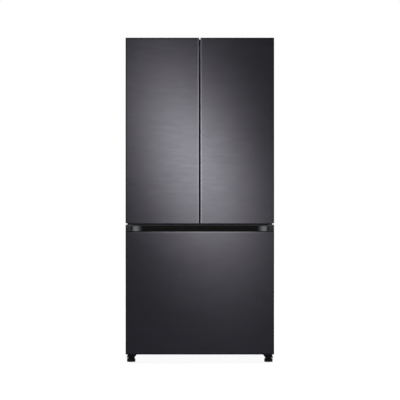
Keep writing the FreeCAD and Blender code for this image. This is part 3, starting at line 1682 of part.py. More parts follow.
def nodes():
    """Every node's name and shape."""
    yield "cabinet_shell", cabinet_shell()
    yield "back_panel", back_panel()
    yield "cabinet_foam", cabinet_foam()
    yield "fridge_liner", fridge_liner()
    yield "freezer_liner", freezer_liner()
    yield "divider_rail", divider_rail()
    yield "top_cover", top_cover()
    yield "base_frame", base_frame()
    yield "leg_brackets", both(leg_bracket())
    for name, shape in (("top_hinge", top_hinge()), ("middle_hinge", middle_hinge())):
        yield f"{name}_right", shape
        yield f"{name}_left", mirrored(shape)
    yield "mullion_guide", mullion_guide()
    yield "fridge_air_duct", fridge_air_duct()
    yield "ceiling_light", ceiling_light()
    yield "shelf_glass", shelf_glass()
    yield "shelf_frames", shelf_frames()
    yield "crisper_shelf_frame", crisper_shelf_frame()
    yield "crisper_right", crisper()
    yield "crisper_left", mirrored(crisper())
    yield "evaporator", evaporator()
    yield "evaporator_cover", evaporator_cover()
    yield "evaporator_fan", evaporator_fan()
    yield "compressor", compressor()
    yield "compressor_mounts", compressor_mounts()
    yield "condenser", condenser()
    yield "drain_pan", drain_pan()
    yield "condenser_fan", condenser_fan()
    yield "condenser_fan_shroud", condenser_fan_shroud()
    yield "machine_cover", machine_cover()
    yield "power_inlet", power_inlet()
    yield "cabinet_rails", cabinet_rails()
    yield "rail_carriages", rail_carriages()
    yield "roller_right", roller(1)
    yield "roller_left", roller(-1)
    yield "foot_right", foot()
    yield "foot_left", mirrored(foot())
    for name, shape in (
        ("panel", door_panel()),
        ("foam", door_foam()),
        ("caps", door_caps()),
        ("gasket", door_gasket()),
        ("bins", door_bins()),
    ):
        yield f"right_door_{name}", shape
        yield f"left_door_{name}", mirrored(shape)
    yield "right_door_liner", door_liner()
    yield "left_door_liner", left_door_liner()
    yield "mullion", mullion()
    yield "freezer_panel", freezer_panel()
    yield "freezer_foam", freezer_foam()
    yield "freezer_door_liner", freezer_door_liner()
    yield "freezer_gasket", freezer_gasket()
    yield "grip_trough", grip_trough()
    yield "freezer_basket", freezer_basket()
    yield "freezer_tray", freezer_tray()
    yield "drawer_rails", drawer_rails()


def main():
    os.makedirs("parts", exist_ok=True)
    for name, shape in nodes():
        shape.exportStep(f"parts/{name}.step")


main()
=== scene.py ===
"""French door refrigerator: materials, small detail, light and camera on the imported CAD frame."""

import json
import math

import bmesh
import bpy
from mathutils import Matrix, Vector


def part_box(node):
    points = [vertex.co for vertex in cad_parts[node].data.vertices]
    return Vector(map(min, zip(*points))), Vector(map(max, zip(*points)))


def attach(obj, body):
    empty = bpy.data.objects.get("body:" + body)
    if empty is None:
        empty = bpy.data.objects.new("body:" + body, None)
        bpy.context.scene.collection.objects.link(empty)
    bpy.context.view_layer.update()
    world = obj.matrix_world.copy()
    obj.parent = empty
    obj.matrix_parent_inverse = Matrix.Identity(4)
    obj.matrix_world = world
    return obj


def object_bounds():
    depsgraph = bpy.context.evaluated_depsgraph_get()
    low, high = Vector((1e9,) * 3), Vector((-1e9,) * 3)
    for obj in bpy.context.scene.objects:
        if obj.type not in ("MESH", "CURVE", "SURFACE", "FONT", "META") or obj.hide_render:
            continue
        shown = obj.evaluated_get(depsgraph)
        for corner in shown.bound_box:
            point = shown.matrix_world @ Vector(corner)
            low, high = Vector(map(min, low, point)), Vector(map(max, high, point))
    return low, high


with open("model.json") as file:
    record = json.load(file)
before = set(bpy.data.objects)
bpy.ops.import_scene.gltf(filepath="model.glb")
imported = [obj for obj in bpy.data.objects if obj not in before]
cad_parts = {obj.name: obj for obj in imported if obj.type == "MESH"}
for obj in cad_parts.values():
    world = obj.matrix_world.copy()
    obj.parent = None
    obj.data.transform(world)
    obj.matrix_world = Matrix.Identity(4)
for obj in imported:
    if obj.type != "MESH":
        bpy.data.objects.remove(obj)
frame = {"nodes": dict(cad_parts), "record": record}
CAD_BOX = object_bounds()
NODES = frame["nodes"]
SCENE = bpy.context.scene
SCENE.view_settings.view_transform = "Standard"
LIP_TOP = 0.729  # top of the drawer front's folded lip, in metres as everywhere below
LINER_BACK = -0.2995  # back plane of the doors' and the drawer's liners


# ---------------------------------------------------------------- material helpers


SOCKETS = {
    "colour": "Base Color", "rough": "Roughness", "metal": "Metallic",
    "spec": "Specular IOR Level", "alpha": "Alpha", "subsurface": "Subsurface Weight",
    "aniso": "Anisotropic", "turn": "Anisotropic Rotation",
    "glow": "Emission Color", "glow_strength": "Emission Strength",
}


class Tree:
    """A material's node tree, with short calls for the nodes used here."""

    def __init__(self, name):
        self.material = bpy.data.materials.new(name)
        self.material.use_nodes = True
        self.nodes = self.material.node_tree.nodes
        self.links = self.material.node_tree.links
        self.nodes.clear()
        self.shader = self.nodes.new("ShaderNodeBsdfPrincipled")
        self.out = self.nodes.new("ShaderNodeOutputMaterial")
        self.link(self.shader.outputs[0], self.out.inputs["Surface"])

    def link(self, output, socket):
        self.links.new(output, socket)

    def place(self, stretch=(1, 1, 1)):
        """Object coordinates, stretched."""
        coord = self.nodes.new("ShaderNodeTexCoord")
        mapping = self.nodes.new("ShaderNodeMapping")
        mapping.inputs["Scale"].default_value = stretch
        self.link(coord.outputs["Object"], mapping.inputs["Vector"])
        return mapping.outputs[0]

    def noise(self, scale, stretch=(1, 1, 1), detail=3.0, rough=0.55):
        node = self.nodes.new("ShaderNodeTexNoise")
        node.inputs["Scale"].default_value = scale
        node.inputs["Detail"].default_value = detail
        node.inputs["Roughness"].default_value = rough
        self.link(self.place(stretch), node.inputs["Vector"])
        return node.outputs["Fac"]

    def cells(self, scale, stretch=(1, 1, 1)):
        node = self.nodes.new("ShaderNodeTexVoronoi")
        node.inputs["Scale"].default_value = scale
        self.link(self.place(stretch), node.inputs["Vector"])
        return node.outputs["Distance"]

    def span(self, value, low, high, at=(0.3, 0.7)):
        """A factor turned into the range low to high."""
        node = self.nodes.new("ShaderNodeMapRange")
        node.inputs["From Min"].default_value, node.inputs["From Max"].default_value = at
        node.inputs["To Min"].default_value, node.inputs["To Max"].default_value = low, high
        self.link(value, node.inputs["Value"])
        return node.outputs[0]

    def ramp(self, value, *stops):
        """Colours along a value: (position, colour) pairs."""
        node = self.nodes.new("ShaderNodeValToRGB")
        band = node.color_ramp
        while len(band.elements) < len(stops):
            band.elements.new(0.5)
        for element, (position, colour) in zip(band.elements, stops):
            element.position = position
            element.color = (*colour, 1)
        self.link(value, node.inputs[0])
        return node.outputs[0]

    def along(self, axis):
        """Object coordinate on one axis, in metres."""
        coord = self.nodes.new("ShaderNodeTexCoord")
        split = self.nodes.new("ShaderNodeSeparateXYZ")
        self.link(coord.outputs["Object"], split.inputs[0])
        return split.outputs[axis]

    def across(self, axis="X"):
        """Distance from the middle plane across an axis, in metres."""
        return self.maths("ABSOLUTE", self.along(axis))

    def maths(self, operation, *values):
        node = self.nodes.new("ShaderNodeMath")
        node.operation = operation
        for value, socket in zip(values, node.inputs):
            if isinstance(value, bpy.types.NodeSocket):
                self.link(value, socket)
            else:
                socket.default_value = value
        return node.outputs[0]

    def step(self, value, edge, soft=0.0004):
        """0 below an edge, 1 above it."""
        return self.span(value, 0, 1, (edge - soft, edge + soft))

    def below(self, value, edge, soft=0.0004):
        """1 below an edge, 0 above it."""
        return self.span(value, 1, 0, (edge - soft, edge + soft))

    def all_of(self, *masks):
        """Masks multiplied together."""
        found = masks[0]
        for mask in masks[1:]:
            found = self.maths("MULTIPLY", found, mask)
        return found

    def any_of(self, *masks):
        """The strongest of several masks."""
        found = masks[0]
        for mask in masks[1:]:
            found = self.maths("MAXIMUM", found, mask)
        return found

    def mix(self, factor, a, b):
        """Two colours or colour outputs mixed by a factor output."""
        node = self.nodes.new("ShaderNodeMix")
        node.data_type = "RGBA"
        self.link(factor, node.inputs[0])
        for socket, colour in ((node.inputs[6], a), (node.inputs[7], b)):
            if isinstance(colour, (tuple, list)):
                socket.default_value = (*colour[:3], 1)
            else:
                self.link(colour, socket)
        return node.outputs[2]

    def soft_normal(self, radius):
        """The normal with edges rounded off over a radius."""
        bevel = self.nodes.new("ShaderNodeBevel")
        bevel.samples = 6
        bevel.inputs["Radius"].default_value = radius
        return bevel.outputs[0]

    def edges(self, radius=0.002):
        """0 on flat faces, rising on sharp edges."""
        geometry = self.nodes.new("ShaderNodeNewGeometry")
        dot = self.nodes.new("ShaderNodeVectorMath")
        dot.operation = "DOT_PRODUCT"
        self.link(self.soft_normal(radius), dot.inputs[0])
        self.link(geometry.outputs["Normal"], dot.inputs[1])
        node = self.nodes.new("ShaderNodeMapRange")
        node.inputs["From Min"].default_value = 1.0
        node.inputs["From Max"].default_value = 0.8
        self.link(dot.outputs["Value"], node.inputs["Value"])
        return node.outputs[0]

    def bump(self, height, strength=0.2, distance=0.001, radius=0.0):
        node = self.nodes.new("ShaderNodeBump")
        node.inputs["Strength"].default_value = strength
        node.inputs["Distance"].default_value = distance
        self.link(height, node.inputs["Height"])
        if radius:
            self.link(self.soft_normal(radius), node.inputs["Normal"])
        self.link(node.outputs[0], self.shader.inputs["Normal"])

    def set(self, **values):
        for key, value in values.items():
            socket = self.shader.inputs[SOCKETS[key]]
            if isinstance(value, bpy.types.NodeSocket):
                self.link(value, socket)
            elif isinstance(value, (tuple, list)):
                socket.default_value = (*value[:3], 1)
            else:
                socket.default_value = value


def shade(colour, factor):
    """A colour made darker or lighter."""
    return tuple(min(1.0, c * factor) for c in colour)


def plastic(name, colour, rough=0.45, grain=900.0, depth=0.08, variation=0.12, **more):
    """Moulded plastic: fine grain, slight mottling and soft edges."""
    t = Tree(name)
    mottle = t.noise(7.0, detail=4.0)
    edge_lift = t.edges()
    base = t.mix(t.span(mottle, 0, 1), shade(colour, 1 - variation), shade(colour, 1 + variation))
    # lighter on sharp edges
    t.set(colour=t.mix(t.span(edge_lift, 0, 0.35, (0, 1)), base, shade(colour, 1.5)))
    fine = t.noise(grain, detail=2.0)
    t.set(rough=t.span(t.noise(35.0), rough - 0.05, rough + 0.06))
    t.bump(fine, depth, 0.0006, 0.0008)
    t.set(**more)
    return t.material


SCREW_COLUMN = 0.388  # from the middle plane to the rear sheet's screws
SCREW_START, SCREW_PITCH = 0.33, 0.23667
REAR_FACE = 0.3555  # what lies in front of this plane has no screws


def screws_at(t):
    """Distance to the nearest screw in the rows down both rear edges."""
    x = t.maths("SUBTRACT", t.across(), SCREW_COLUMN)
    z = t.maths("PINGPONG", t.maths("SUBTRACT", t.along("Z"), SCREW_START), SCREW_PITCH / 2)
    flat = t.maths("SQRT", t.maths("ADD", t.maths("MULTIPLY", x, x), t.maths("MULTIPLY", z, z)))
    return t.maths("ADD", flat, t.maths("LESS_THAN", t.along("Y"), REAR_FACE))


def liner():
    """White liner plastic, with painted shade on the thin outer edge round doors and drawer."""
    t = Tree("liner_white")
    mottle = t.noise(7.0, detail=4.0)
    fine = t.noise(500.0, detail=2.0)
    base = t.mix(t.span(mottle, 0, 1), (0.788, 0.798, 0.808), (0.812, 0.822, 0.832))
    # painted shade on the liner's thin outer edge round doors and drawer
    edge = t.below(t.along("Y"), LINER_BACK - 0.0002, 0.0001)
    edge_shade = t.mix(t.span(mottle, 0, 1), (0.011, 0.011, 0.012), (0.015, 0.015, 0.016))
    t.set(colour=t.mix(edge, base, edge_shade), rough=t.span(t.noise(35.0), 0.33, 0.44), spec=0.4)
    t.bump(fine, 0.02, 0.0006, 0.0008)
    return t.material


def sheet_metal(name, colour, rough=0.35, stretch=(1, 1, 1), screws=False, **more):
    """Bare or plated metal with spangle and faint drawing marks.

    The rear sheet also gets its screw heads and the seam over the machine-room cover."""
    t = Tree(name)
    spangle = t.cells(140.0, stretch)
    drawn = t.noise(60.0, (stretch[0], stretch[1], stretch[2] * 18), 2.0)
    base = t.mix(t.span(spangle, 0, 1, (0.1, 0.6)), shade(colour, 0.94), shade(colour, 1.03))
    height = drawn
    if screws:
        head = t.below(screws_at(t), 0.0039, 0.0003)
        seam = t.maths("SUBTRACT", t.along("Z"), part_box("machine_cover")[1].z)
        seam = t.below(t.maths("ABSOLUTE", seam), 0.0015, 0.0003)
        base = t.mix(seam, base, shade(colour, 0.25))
        base = t.mix(head, base, shade(colour, 0.45))
        height = t.maths("ADD", drawn, t.maths("MULTIPLY", head, 6.0))
    t.set(colour=base, rough=t.span(drawn, rough - 0.07, rough + 0.09), metal=1.0)
    t.bump(height, 0.06, 0.0005, 0.0006)
    t.set(**more)
    return t.material


def painted(name, colour, rough=0.5, grain=420.0, depth=0.35, **more):
    """Powder-coated or painted steel: orange-peel texture, lighter edges."""
    t = Tree(name)
    peel = t.noise(grain, detail=3.0, rough=0.6)
    edge_lift = t.edges()
    cloudy = t.noise(4.0, detail=3.0)
    base = t.mix(t.span(cloudy, 0, 1), shade(colour, 0.9), shade(colour, 1.1))
    # lighter on sharp edges
    t.set(colour=t.mix(t.span(edge_lift, 0, 0.5, (0, 1)), base, shade(colour, 1.8)))
    t.set(rough=t.span(peel, rough - 0.08, rough + 0.08))
    t.bump(peel, depth, 0.0005, 0.001)
    t.set(**more)
    return t.material


STEEL_DARK, STEEL_LIGHT = (0.0129, 0.0124, 0.016), (0.015, 0.0144, 0.0186)
FIBRE_DARK, FIBRE_LIGHT = (0.0113, 0.0109, 0.0141), (0.0155, 0.0149, 0.0193)
STREAK = (0.0163, 0.0157, 0.0202)
OUTER_EDGE_SHADE = (0.0095, 0.0092, 0.0118)  # painted shade on the edges turned away from the light
# painted highlights on the folds beside the door gap, brighter up the left door
FOLD_HIGHLIGHT, FOLD_HIGHLIGHT_UPPER_LEFT = (0.0215, 0.0207, 0.0265), (0.031, 0.03, 0.037)
GAP_EDGE_HIGHLIGHT = (0.135, 0.131, 0.155)  # painted highlight on the right door's own edge at the gap
# painted highlight on the lip's rim, painted shade on its turned-in top
LIP_RIM_HIGHLIGHT, LIP_TURNED_SHADE = (0.036, 0.0348, 0.044), (0.002, 0.002, 0.0025)
FOLD_REACH, NEAR_REACH = 0.0118, 0.006  # widths of the painted highlights, from the middle plane
# widths of the painted shade along the outer edges
SIDE_EDGE, TOP_EDGE, BOTTOM_EDGE = 0.008, 0.0095, 0.007
RIM_HIGHLIGHT_HEIGHT, TURNED_SHADE_HEIGHT = 0.0074, 0.0044  # depths of the lip's painted highlight and painted shade, down from the lip's top


def black_stainless():
    """Dark stainless with fine horizontal brushing: highlights run up and down.

    The folds beside the door gap and along the drawer's lip get painted highlights for the light
    they catch; the outer edges, which turn away, and the lip's turned-in top get painted shade."""
    t = Tree("black_stainless")
    broad = t.noise(3.0, (0.5, 1, 1.6), 3.0)
    lines = t.noise(420.0, (0.012, 0.012, 1.0), 3.0, 0.6)
    hair = t.noise(1500.0, (0.02, 0.02, 1.0), 2.0, 0.7)
    streaks = t.noise(140.0, (0.11, 0.11, 1.0), 2.0, 0.6)
    base = t.mix(t.span(broad, 0, 1), STEEL_DARK, STEEL_LIGHT)
    fibre = t.mix(t.span(lines, 0, 1), FIBRE_DARK, FIBRE_LIGHT)
    brushed = t.mix(t.span(hair, 0.25, 0.6), base, fibre)
    brushed = t.mix(t.span(streaks, 0, 0.8, (0.35, 0.65)), brushed, STREAK)

    doors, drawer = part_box("left_door_panel"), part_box("freezer_panel")
    half, top, bottom = -doors[0].x, doors[1].z, drawer[0].z
    side, middle, z = t.along("X"), t.across(), t.along("Z")
    on_door, on_drawer = t.step(z, drawer[1].z), t.below(z, drawer[1].z)

    # painted shade along the side, top and bottom edges
    outer = t.any_of(
        t.step(middle, half - SIDE_EDGE), t.step(z, top - TOP_EDGE), t.below(z, bottom + BOTTOM_EDGE)
    )
    colour = t.mix(outer, brushed, OUTER_EDGE_SHADE)
    # painted highlight on the folds at the gap, brighter towards the top of the left door
    sheen = t.mix(t.span(z, 0, 1, (1.2, 1.7)), FOLD_HIGHLIGHT, FOLD_HIGHLIGHT_UPPER_LEFT)
    sheen = t.mix(t.step(side, 0.0), sheen, FOLD_HIGHLIGHT)
    colour = t.mix(t.all_of(on_door, t.below(middle, FOLD_REACH)), colour, sheen)
    # painted highlight on the right door's own edge at the gap
    near = t.all_of(on_door, t.maths("SUBTRACT", t.step(side, 0.0), t.step(side, NEAR_REACH)))
    colour = t.mix(near, colour, GAP_EDGE_HIGHLIGHT)
    # painted highlight along the drawer lip's rim, fading towards the ends
    inward = t.below(middle, half - 0.08, 0.06)
    rim = t.all_of(t.step(z, LIP_TOP - RIM_HIGHLIGHT_HEIGHT), on_drawer, inward)
    colour = t.mix(rim, colour, LIP_RIM_HIGHLIGHT)
    # painted shade on the lip's turned-in top
    lip_top_shade = t.all_of(t.step(z, LIP_TOP - TURNED_SHADE_HEIGHT), on_drawer)
    t.set(colour=t.mix(lip_top_shade, colour, LIP_TURNED_SHADE))
    t.set(rough=t.span(lines, 0.185, 0.225), metal=1.0, aniso=0.55, turn=0.25)

    tangent = t.nodes.new("ShaderNodeTangent")
    tangent.direction_type = "RADIAL"
    tangent.axis = "Z"
    t.link(tangent.outputs[0], t.shader.inputs["Tangent"])
    t.bump(hair, 0.05, 0.0003, 0.0015)
    return t.material


GRIP_END_REACH = 0.1  # the stretch at either end of the grip that the tones and painted highlight below cover
# from the middle outwards: black trough, painted highlight on the curved end, a dark joint, the grey
# end cap
GRIP_END_TONES_AND_HIGHLIGHT = (
    (0.0, 0.0042), (0.09, 0.006), (0.2, 0.09), (0.34, 0.4), (0.45, 0.55), (0.58, 0.3),
    (0.64, 0.1), (0.66, 0.007), (0.69, 0.007), (0.71, 0.05), (1.0, 0.045),
)
# depth of the painted highlight along the moulding's top
GRIP_TOP_HIGHLIGHT = 0.007


def grip_moulding():
    """Satin black trough with grey end caps, and a painted highlight on the turned-out ends beside
    them.
    """
    t = Tree("grip_black")
    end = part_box("grip_trough")[1]
    place = t.span(t.across(), 0, 1, (end.x - GRIP_END_REACH, end.x))
    # the tones of the trough and caps, with the painted highlight on the curved ends
    base = t.ramp(place, *((at, (v, v, v * 1.04)) for at, v in GRIP_END_TONES_AND_HIGHLIGHT))
    fine = t.noise(900.0, detail=2.0)
    base = t.mix(t.span(fine, 0, 0.15), base, (0.004, 0.004, 0.0045))
    # painted highlight along the moulding's top band
    t.set(
        colour=t.mix(t.step(t.along("Z"), end.z - GRIP_TOP_HIGHLIGHT), base, (0.1, 0.1, 0.103)),
        rough=t.span(fine, 0.5, 0.6), spec=0.04,
    )
    t.bump(fine, 0.1, 0.0004, 0.0008)
    return t.material


def clear_plastic(name, tint, rough=0.06, face=0.16, edge=0.75):
    """Clear moulding or glass: seen through head-on, whiter and shinier at a slant."""
    t = Tree(name)
    flow = t.noise(6.0, (1, 1, 0.4), 3.0)
    slant = t.nodes.new("ShaderNodeLayerWeight")
    slant.inputs["Blend"].default_value = 0.35
    t.set(colour=t.mix(t.span(flow, 0, 1), shade(tint, 0.95), tint))
    t.set(
        rough=t.span(t.noise(30.0), rough, rough + 0.05),
        alpha=t.span(slant.outputs["Facing"], face, edge, (0, 1)),
    )
    t.bump(flow, 0.04, 0.002)
    return t.material


def foam_fill():
    """Rigid yellow foam with open cells."""
    t = Tree("foam")
    cells = t.cells(500.0)
    soft = t.noise(20.0, detail=4.0)
    t.set(
        colour=t.mix(t.span(soft, 0, 1), (0.72, 0.62, 0.36), (0.86, 0.78, 0.52)),
        rough=t.span(cells, 0.75, 0.95, (0, 0.6)),
    )
    t.bump(cells, 0.5, 0.001)
    return t.material


def rubber(name, colour):
    """Dull rubber or gasket vinyl."""
    t = Tree(name)
    fine = t.noise(700.0, detail=2.0)
    soft = t.noise(12.0)
    t.set(
        colour=t.mix(t.span(soft, 0, 1), shade(colour, 0.85), shade(colour, 1.2)),
        rough=t.span(fine, 0.62, 0.8), spec=0.15,
    )
    t.bump(fine, 0.15, 0.0005, 0.0008)
    return t.material


def lamp_lens():
    """Prismatic lamp cover with its light on."""
    t = Tree("lamp_lens")
    prism = t.noise(300.0, (1, 0.05, 1), 1.0)
    t.set(
        colour=t.mix(t.span(prism, 0, 1), (0.86, 0.87, 0.84), (0.97, 0.97, 0.94)),
        rough=t.span(prism, 0.25, 0.4), subsurface=0.2,
        glow=t.mix(t.span(prism, 0, 1), (1.0, 0.97, 0.92), (1.0, 0.99, 0.96)), glow_strength=9.0,
    )
    t.bump(prism, 0.3, 0.001)
    return t.material


MATERIALS = {
    "black_stainless": black_stainless(),
    "cabinet_paint": painted("cabinet_paint", (0.012, 0.012, 0.0132), 0.5, spec=0.22),
    "zinc_sheet": sheet_metal("zinc_sheet", (0.42, 0.435, 0.45), 0.42, screws=True),
    "foam": foam_fill(),
    "liner_white": liner(),
    "trim_black": plastic("trim_black", (0.012, 0.012, 0.013), 0.55, spec=0.12),
    "grip_black": grip_moulding(),
    "gasket_grey": rubber("gasket_grey", (0.075, 0.075, 0.08)),
    "clear_bin": clear_plastic("clear_bin", (0.78, 0.86, 0.9)),
    "shelf_glass": clear_plastic("shelf_glass", (0.62, 0.78, 0.74), 0.01, 0.12, 0.6),
    "shelf_frame": plastic("shelf_frame", (0.74, 0.76, 0.77), 0.3, 600.0, 0.02, 0.02),
    "hinge_steel": painted("hinge_steel", (0.01, 0.01, 0.011), 0.5, 300.0, 0.12, spec=0.15),
    "rail_zinc": sheet_metal("rail_zinc", (0.6, 0.61, 0.6), 0.3, (0.3, 0.04, 1)),
    "basket_white": clear_plastic("basket_white", (0.78, 0.81, 0.83), 0.3, 0.55, 0.92),
    "compressor_black": painted("compressor_black", (0.009, 0.009, 0.01), 0.22, 60.0, 0.08),
    "coil_aluminium": sheet_metal("coil_aluminium", (0.72, 0.73, 0.74), 0.3, (1, 1, 3)),
    "coil_black": painted("coil_black", (0.012, 0.012, 0.012), 0.4, 300.0, 0.15),
    "mount_rubber": rubber("mount_rubber", (0.012, 0.012, 0.012)),
    "foot_black": plastic("foot_black", (0.006, 0.006, 0.007), 0.6, 700.0, 0.15, spec=0.1),
    "roller_grey": plastic("roller_grey", (0.06, 0.06, 0.065), 0.4),
    "lamp_lens": lamp_lens(),
    "fan_white": plastic("fan_white", (0.62, 0.64, 0.66), 0.35),
    "fan_black": plastic("fan_black", (0.014, 0.014, 0.015), 0.45),
    "inlet_black": plastic("inlet_black", (0.01, 0.01, 0.01), 0.3),
}
SLOT_OF = {s["node"]: s["material_slot"] for s in frame["record"]["subparts"]}
for node, obj in NODES.items():
    obj.data.materials.clear()
    obj.data.materials.append(MATERIALS[SLOT_OF[node]])


# ---------------------------------------------------------------- small pieces


def finished(obj, slot, body):
    """Links a piece, gives it its slot's material and lets it ride on its body."""
    SCENE.collection.objects.link(obj)
    obj.data.materials.append(MATERIALS[slot])
    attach(obj, body)


def piece(name, bm, slot, body, bevel=0.0):
    """A piece from mesh code, with softened edges."""
    bmesh.ops.recalc_face_normals(bm, faces=bm.faces)
    mesh = bpy.data.meshes.new(name)
    bm.to_mesh(mesh)
    bm.free()
    obj = bpy.data.objects.new(name, mesh)
    if bevel:
        soften = obj.modifiers.new("edges", "BEVEL")
        soften.width = bevel
        soften.segments = 2
    finished(obj, slot, body)


def turned(bm, profile, sides, place, turn):
    """Closed solid of rings about an axis: (radius, height) pairs from the base up."""
    rings = []
    for radius, height in profile:
        ring = []
        for i in range(sides):
            angle = math.tau * i / sides
            spot = Vector((radius * math.cos(angle), radius * math.sin(angle), height))
            ring.append(bm.verts.new(place + turn @ spot))
        rings.append(ring)
    for low, high in zip(rings, rings[1:]):
        for i in range(sides):
            j = (i + 1) % sides
            bm.faces.new((low[i], low[j], high[j], high[i]))
    bm.faces.new(rings[0])
    bm.faces.new(rings[-1])


WASHER = (20, ((0.0046, 0.0), (0.0046, 0.0004), (0.0041, 0.0007)))  # sides, then (radius, height)
HEX_HEAD = (6, ((0.0031, 0.0006), (0.0031, 0.0018), (0.0026, 0.0022)))


def hex_screws(name, places, axis, size=1.0):
    """Hex washer-head screws on one face of the cabinet."""
    bm = bmesh.new()
    turn = Vector((0, 0, 1)).rotation_difference(Vector(axis))
    for place in places:
        for sides, profile in (WASHER, HEX_HEAD):
            scaled = [(radius * size, height * size) for radius, height in profile]
            turned(bm, scaled, sides, Vector(place), turn)
    piece(name, bm, "hinge_steel", "cabinet")


def bar(bm, low, high):
    """Box between two corners, to be softened by the piece's bevel."""
    made = bmesh.ops.create_cube(bm, size=1.0)["verts"]
    for v in made:
        for i in range(3):
            v.co[i] = low[i] + (v.co[i] + 0.5) * (high[i] - low[i])


def rounded(corners, radius, steps=6):
    """An open path whose inner corners are arcs. Corners are 2-D and square."""
    path = [Vector(corners[0])]
    for before, corner, after in zip(corners, corners[1:], corners[2:]):
        before, corner, after = Vector(before), Vector(corner), Vector(after)
        back, on = (before - corner).normalized(), (after - corner).normalized()
        centre = corner + (back + on) * radius
        for i in range(steps + 1):
            angle = math.pi / 2 * i / steps
            path.append(centre - on * radius * math.cos(angle) - back * radius * math.sin(angle))
    path.append(Vector(corners[-1]))
    return path


def beads(name, paths, radius, slot, body):
    """Round beads or tubes along 3-D paths, as one curve."""
    curve = bpy.data.curves.new(name, "CURVE")
    curve.dimensions = "3D"
    curve.bevel_depth = radius
    curve.bevel_resolution = 3
    curve.use_fill_caps = True
    for path in paths:
        spline = curve.splines.new("POLY")
        spline.points.add(len(path) - 1)
        for point, place in zip(spline.points, path):
            point.co = (*place, 1)
    finished(bpy.data.objects.new(name, curve), slot, body)


BIN_INNER, BIN_OUTER, BIN_BACK, BIN_FRONT = 0.0833, 0.3122, -0.2975, -0.2048
BIN_CORNER = 0.015
BIN_TOPS = (0.98, 1.256, 1.532)
RIM_RADIUS = 0.0021


def bin_rims(side, body):
    """Raised rim round the top of each door bin."""
    inner, outer = side * BIN_INNER, side * BIN_OUTER
    corners = [(inner, BIN_BACK), (inner, BIN_FRONT), (outer, BIN_FRONT), (outer, BIN_BACK)]
    outline = rounded(corners, BIN_CORNER)
    paths = [[(v.x, v.y, top - 0.0012) for v in outline] for top in BIN_TOPS]
    beads(body + "_bin_rims", paths, RIM_RADIUS, "shelf_frame", body)


def crisper_trims():
    """Flat grips along the pulls of the two vegetable drawers."""
    for name, side in (("left", -1), ("right", 1)):
        bm = bmesh.new()
        low, high = sorted((side * 0.02, side * 0.3225))
        bar(bm, (low, -0.1887, 0.9585), (high, -0.1863, 0.9725))
        piece("crisper_trim_" + name, bm, "shelf_frame", "cabinet", 0.0008)


FIN_END = 0.0004  # how near to the middle plane each fin reaches
FIN_ROOT = 0.001  # how deep it stands in its door
FIN_BACK, FIN_FRONT = LINER_BACK - 0.0002, LINER_BACK - 0.0017
FIN_OFFSET = 0.0033  # the right door's fin stands this far in front of the left one's


def gap_shade_fins():
    """Black fins of the rubber finish on the doors' facing edges, one behind the other: dark sheets
    put in the gap as painted shade, which also shade it.
    """
    for body, side, offset in (("left_door", -1, 0.0), ("right_door", 1, FIN_OFFSET)):
        low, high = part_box(body + "_liner")
        root = (high.x if side < 0 else low.x) + side * FIN_ROOT
        left, right = sorted((root, side * FIN_END))
        bm = bmesh.new()
        bar(
            bm,
            (left, FIN_FRONT - offset, low.z + 0.002),
            (right, FIN_BACK - offset, high.z - 0.016),
        )
        piece(body + "_gap_shade_fin", bm, "mount_rubber", body, 0.0003)


BLADE_HALF = (0.001, 0.002)  # half the width and height of a blade
BLADES = ((-0.377, 0.263), (-0.363, 0.263), (-0.37, 0.2675))


def socket_blades():
    """Three flat pins standing in the power inlet."""
    bm = bmesh.new()
    wide, high = BLADE_HALF
    for x, z in BLADES:
        bar(bm, (x - wide, 0.3385, z - high), (x + wide, 0.353, z + high))
    piece("socket_blades", bm, "rail_zinc", "cabinet", 0.0004)


TUBE_RADIUS, TUBE_BEND = 0.0032, 0.012
DISCHARGE_DEPTH, SUCTION_DEPTH = 0.2625, 0.24
DISCHARGE = ((-0.213, 0.235), (-0.213, 0.262), (0.157, 0.262), (0.157, 0.228))
SUCTION = ((-0.26, 0.235), (-0.26, 0.283), (-0.33, 0.283))


def machine_room_tubes():
    """Discharge and suction tubes of the compressor, to the condenser and up the wall."""
    paths = [
        [(v.x, depth, v.y) for v in rounded(run, TUBE_BEND)]
        for run, depth in ((DISCHARGE, DISCHARGE_DEPTH), (SUCTION, SUCTION_DEPTH))
    ]
    beads("refrigerant_tubes", paths, TUBE_RADIUS, "coil_black", "cabinet")


TOP_SCREWS = [(x, -0.235, 1.789) for x in (-0.36, -0.12, 0.12, 0.36)]
MIDDLE_SCREWS = [(side * x, -0.2915, 0.7605) for side in (-1, 1) for x in (0.3225, 0.3475)]

hex_screws("top_cover_screws", TOP_SCREWS, (0, 0, 1))
hex_screws("middle_hinge_screws", MIDDLE_SCREWS, (0, -1, 0), 0.85)
bin_rims(-1, "left_door")
bin_rims(1, "right_door")
crisper_trims()
gap_shade_fins()
socket_blades()
machine_room_tubes()


# ---------------------------------------------------------------- camera, light and stage

FRONT_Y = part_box("left_door_panel")[0].y
VIEW_DISTANCE = 9.0
EYE_X, EYE_HEIGHT = 0.0009, 0.8997
SENSOR_WIDTH, LENS = 36.0, 147.35

FILL_COLOUR, FILL_STRENGTH = (0.95, 0.97, 1.0, 1), 0.8
FLOOR_HALF, FLOOR_DROP = 14.0, 0.0004
FLOOR_GLOW = 0.88  # added where the floor is looked at, so that it reads as white

CARD_DISTANCE = 2.6  # in front of the doors
CARD_CENTRE = (-0.037, 1.111)  # x and z of its reflection on the doors
CARD_SPREAD = (0.195, 0.4)  # widths of the fading patch
CARD_LEAN = 25.0  # degrees
CARD_RADIANCE, CARD_COLOUR = 28.3, (1.0, 1.0, 0.87, 1)
CARD_REACH = 3.2  # half size in widths of the patch: it has faded out there


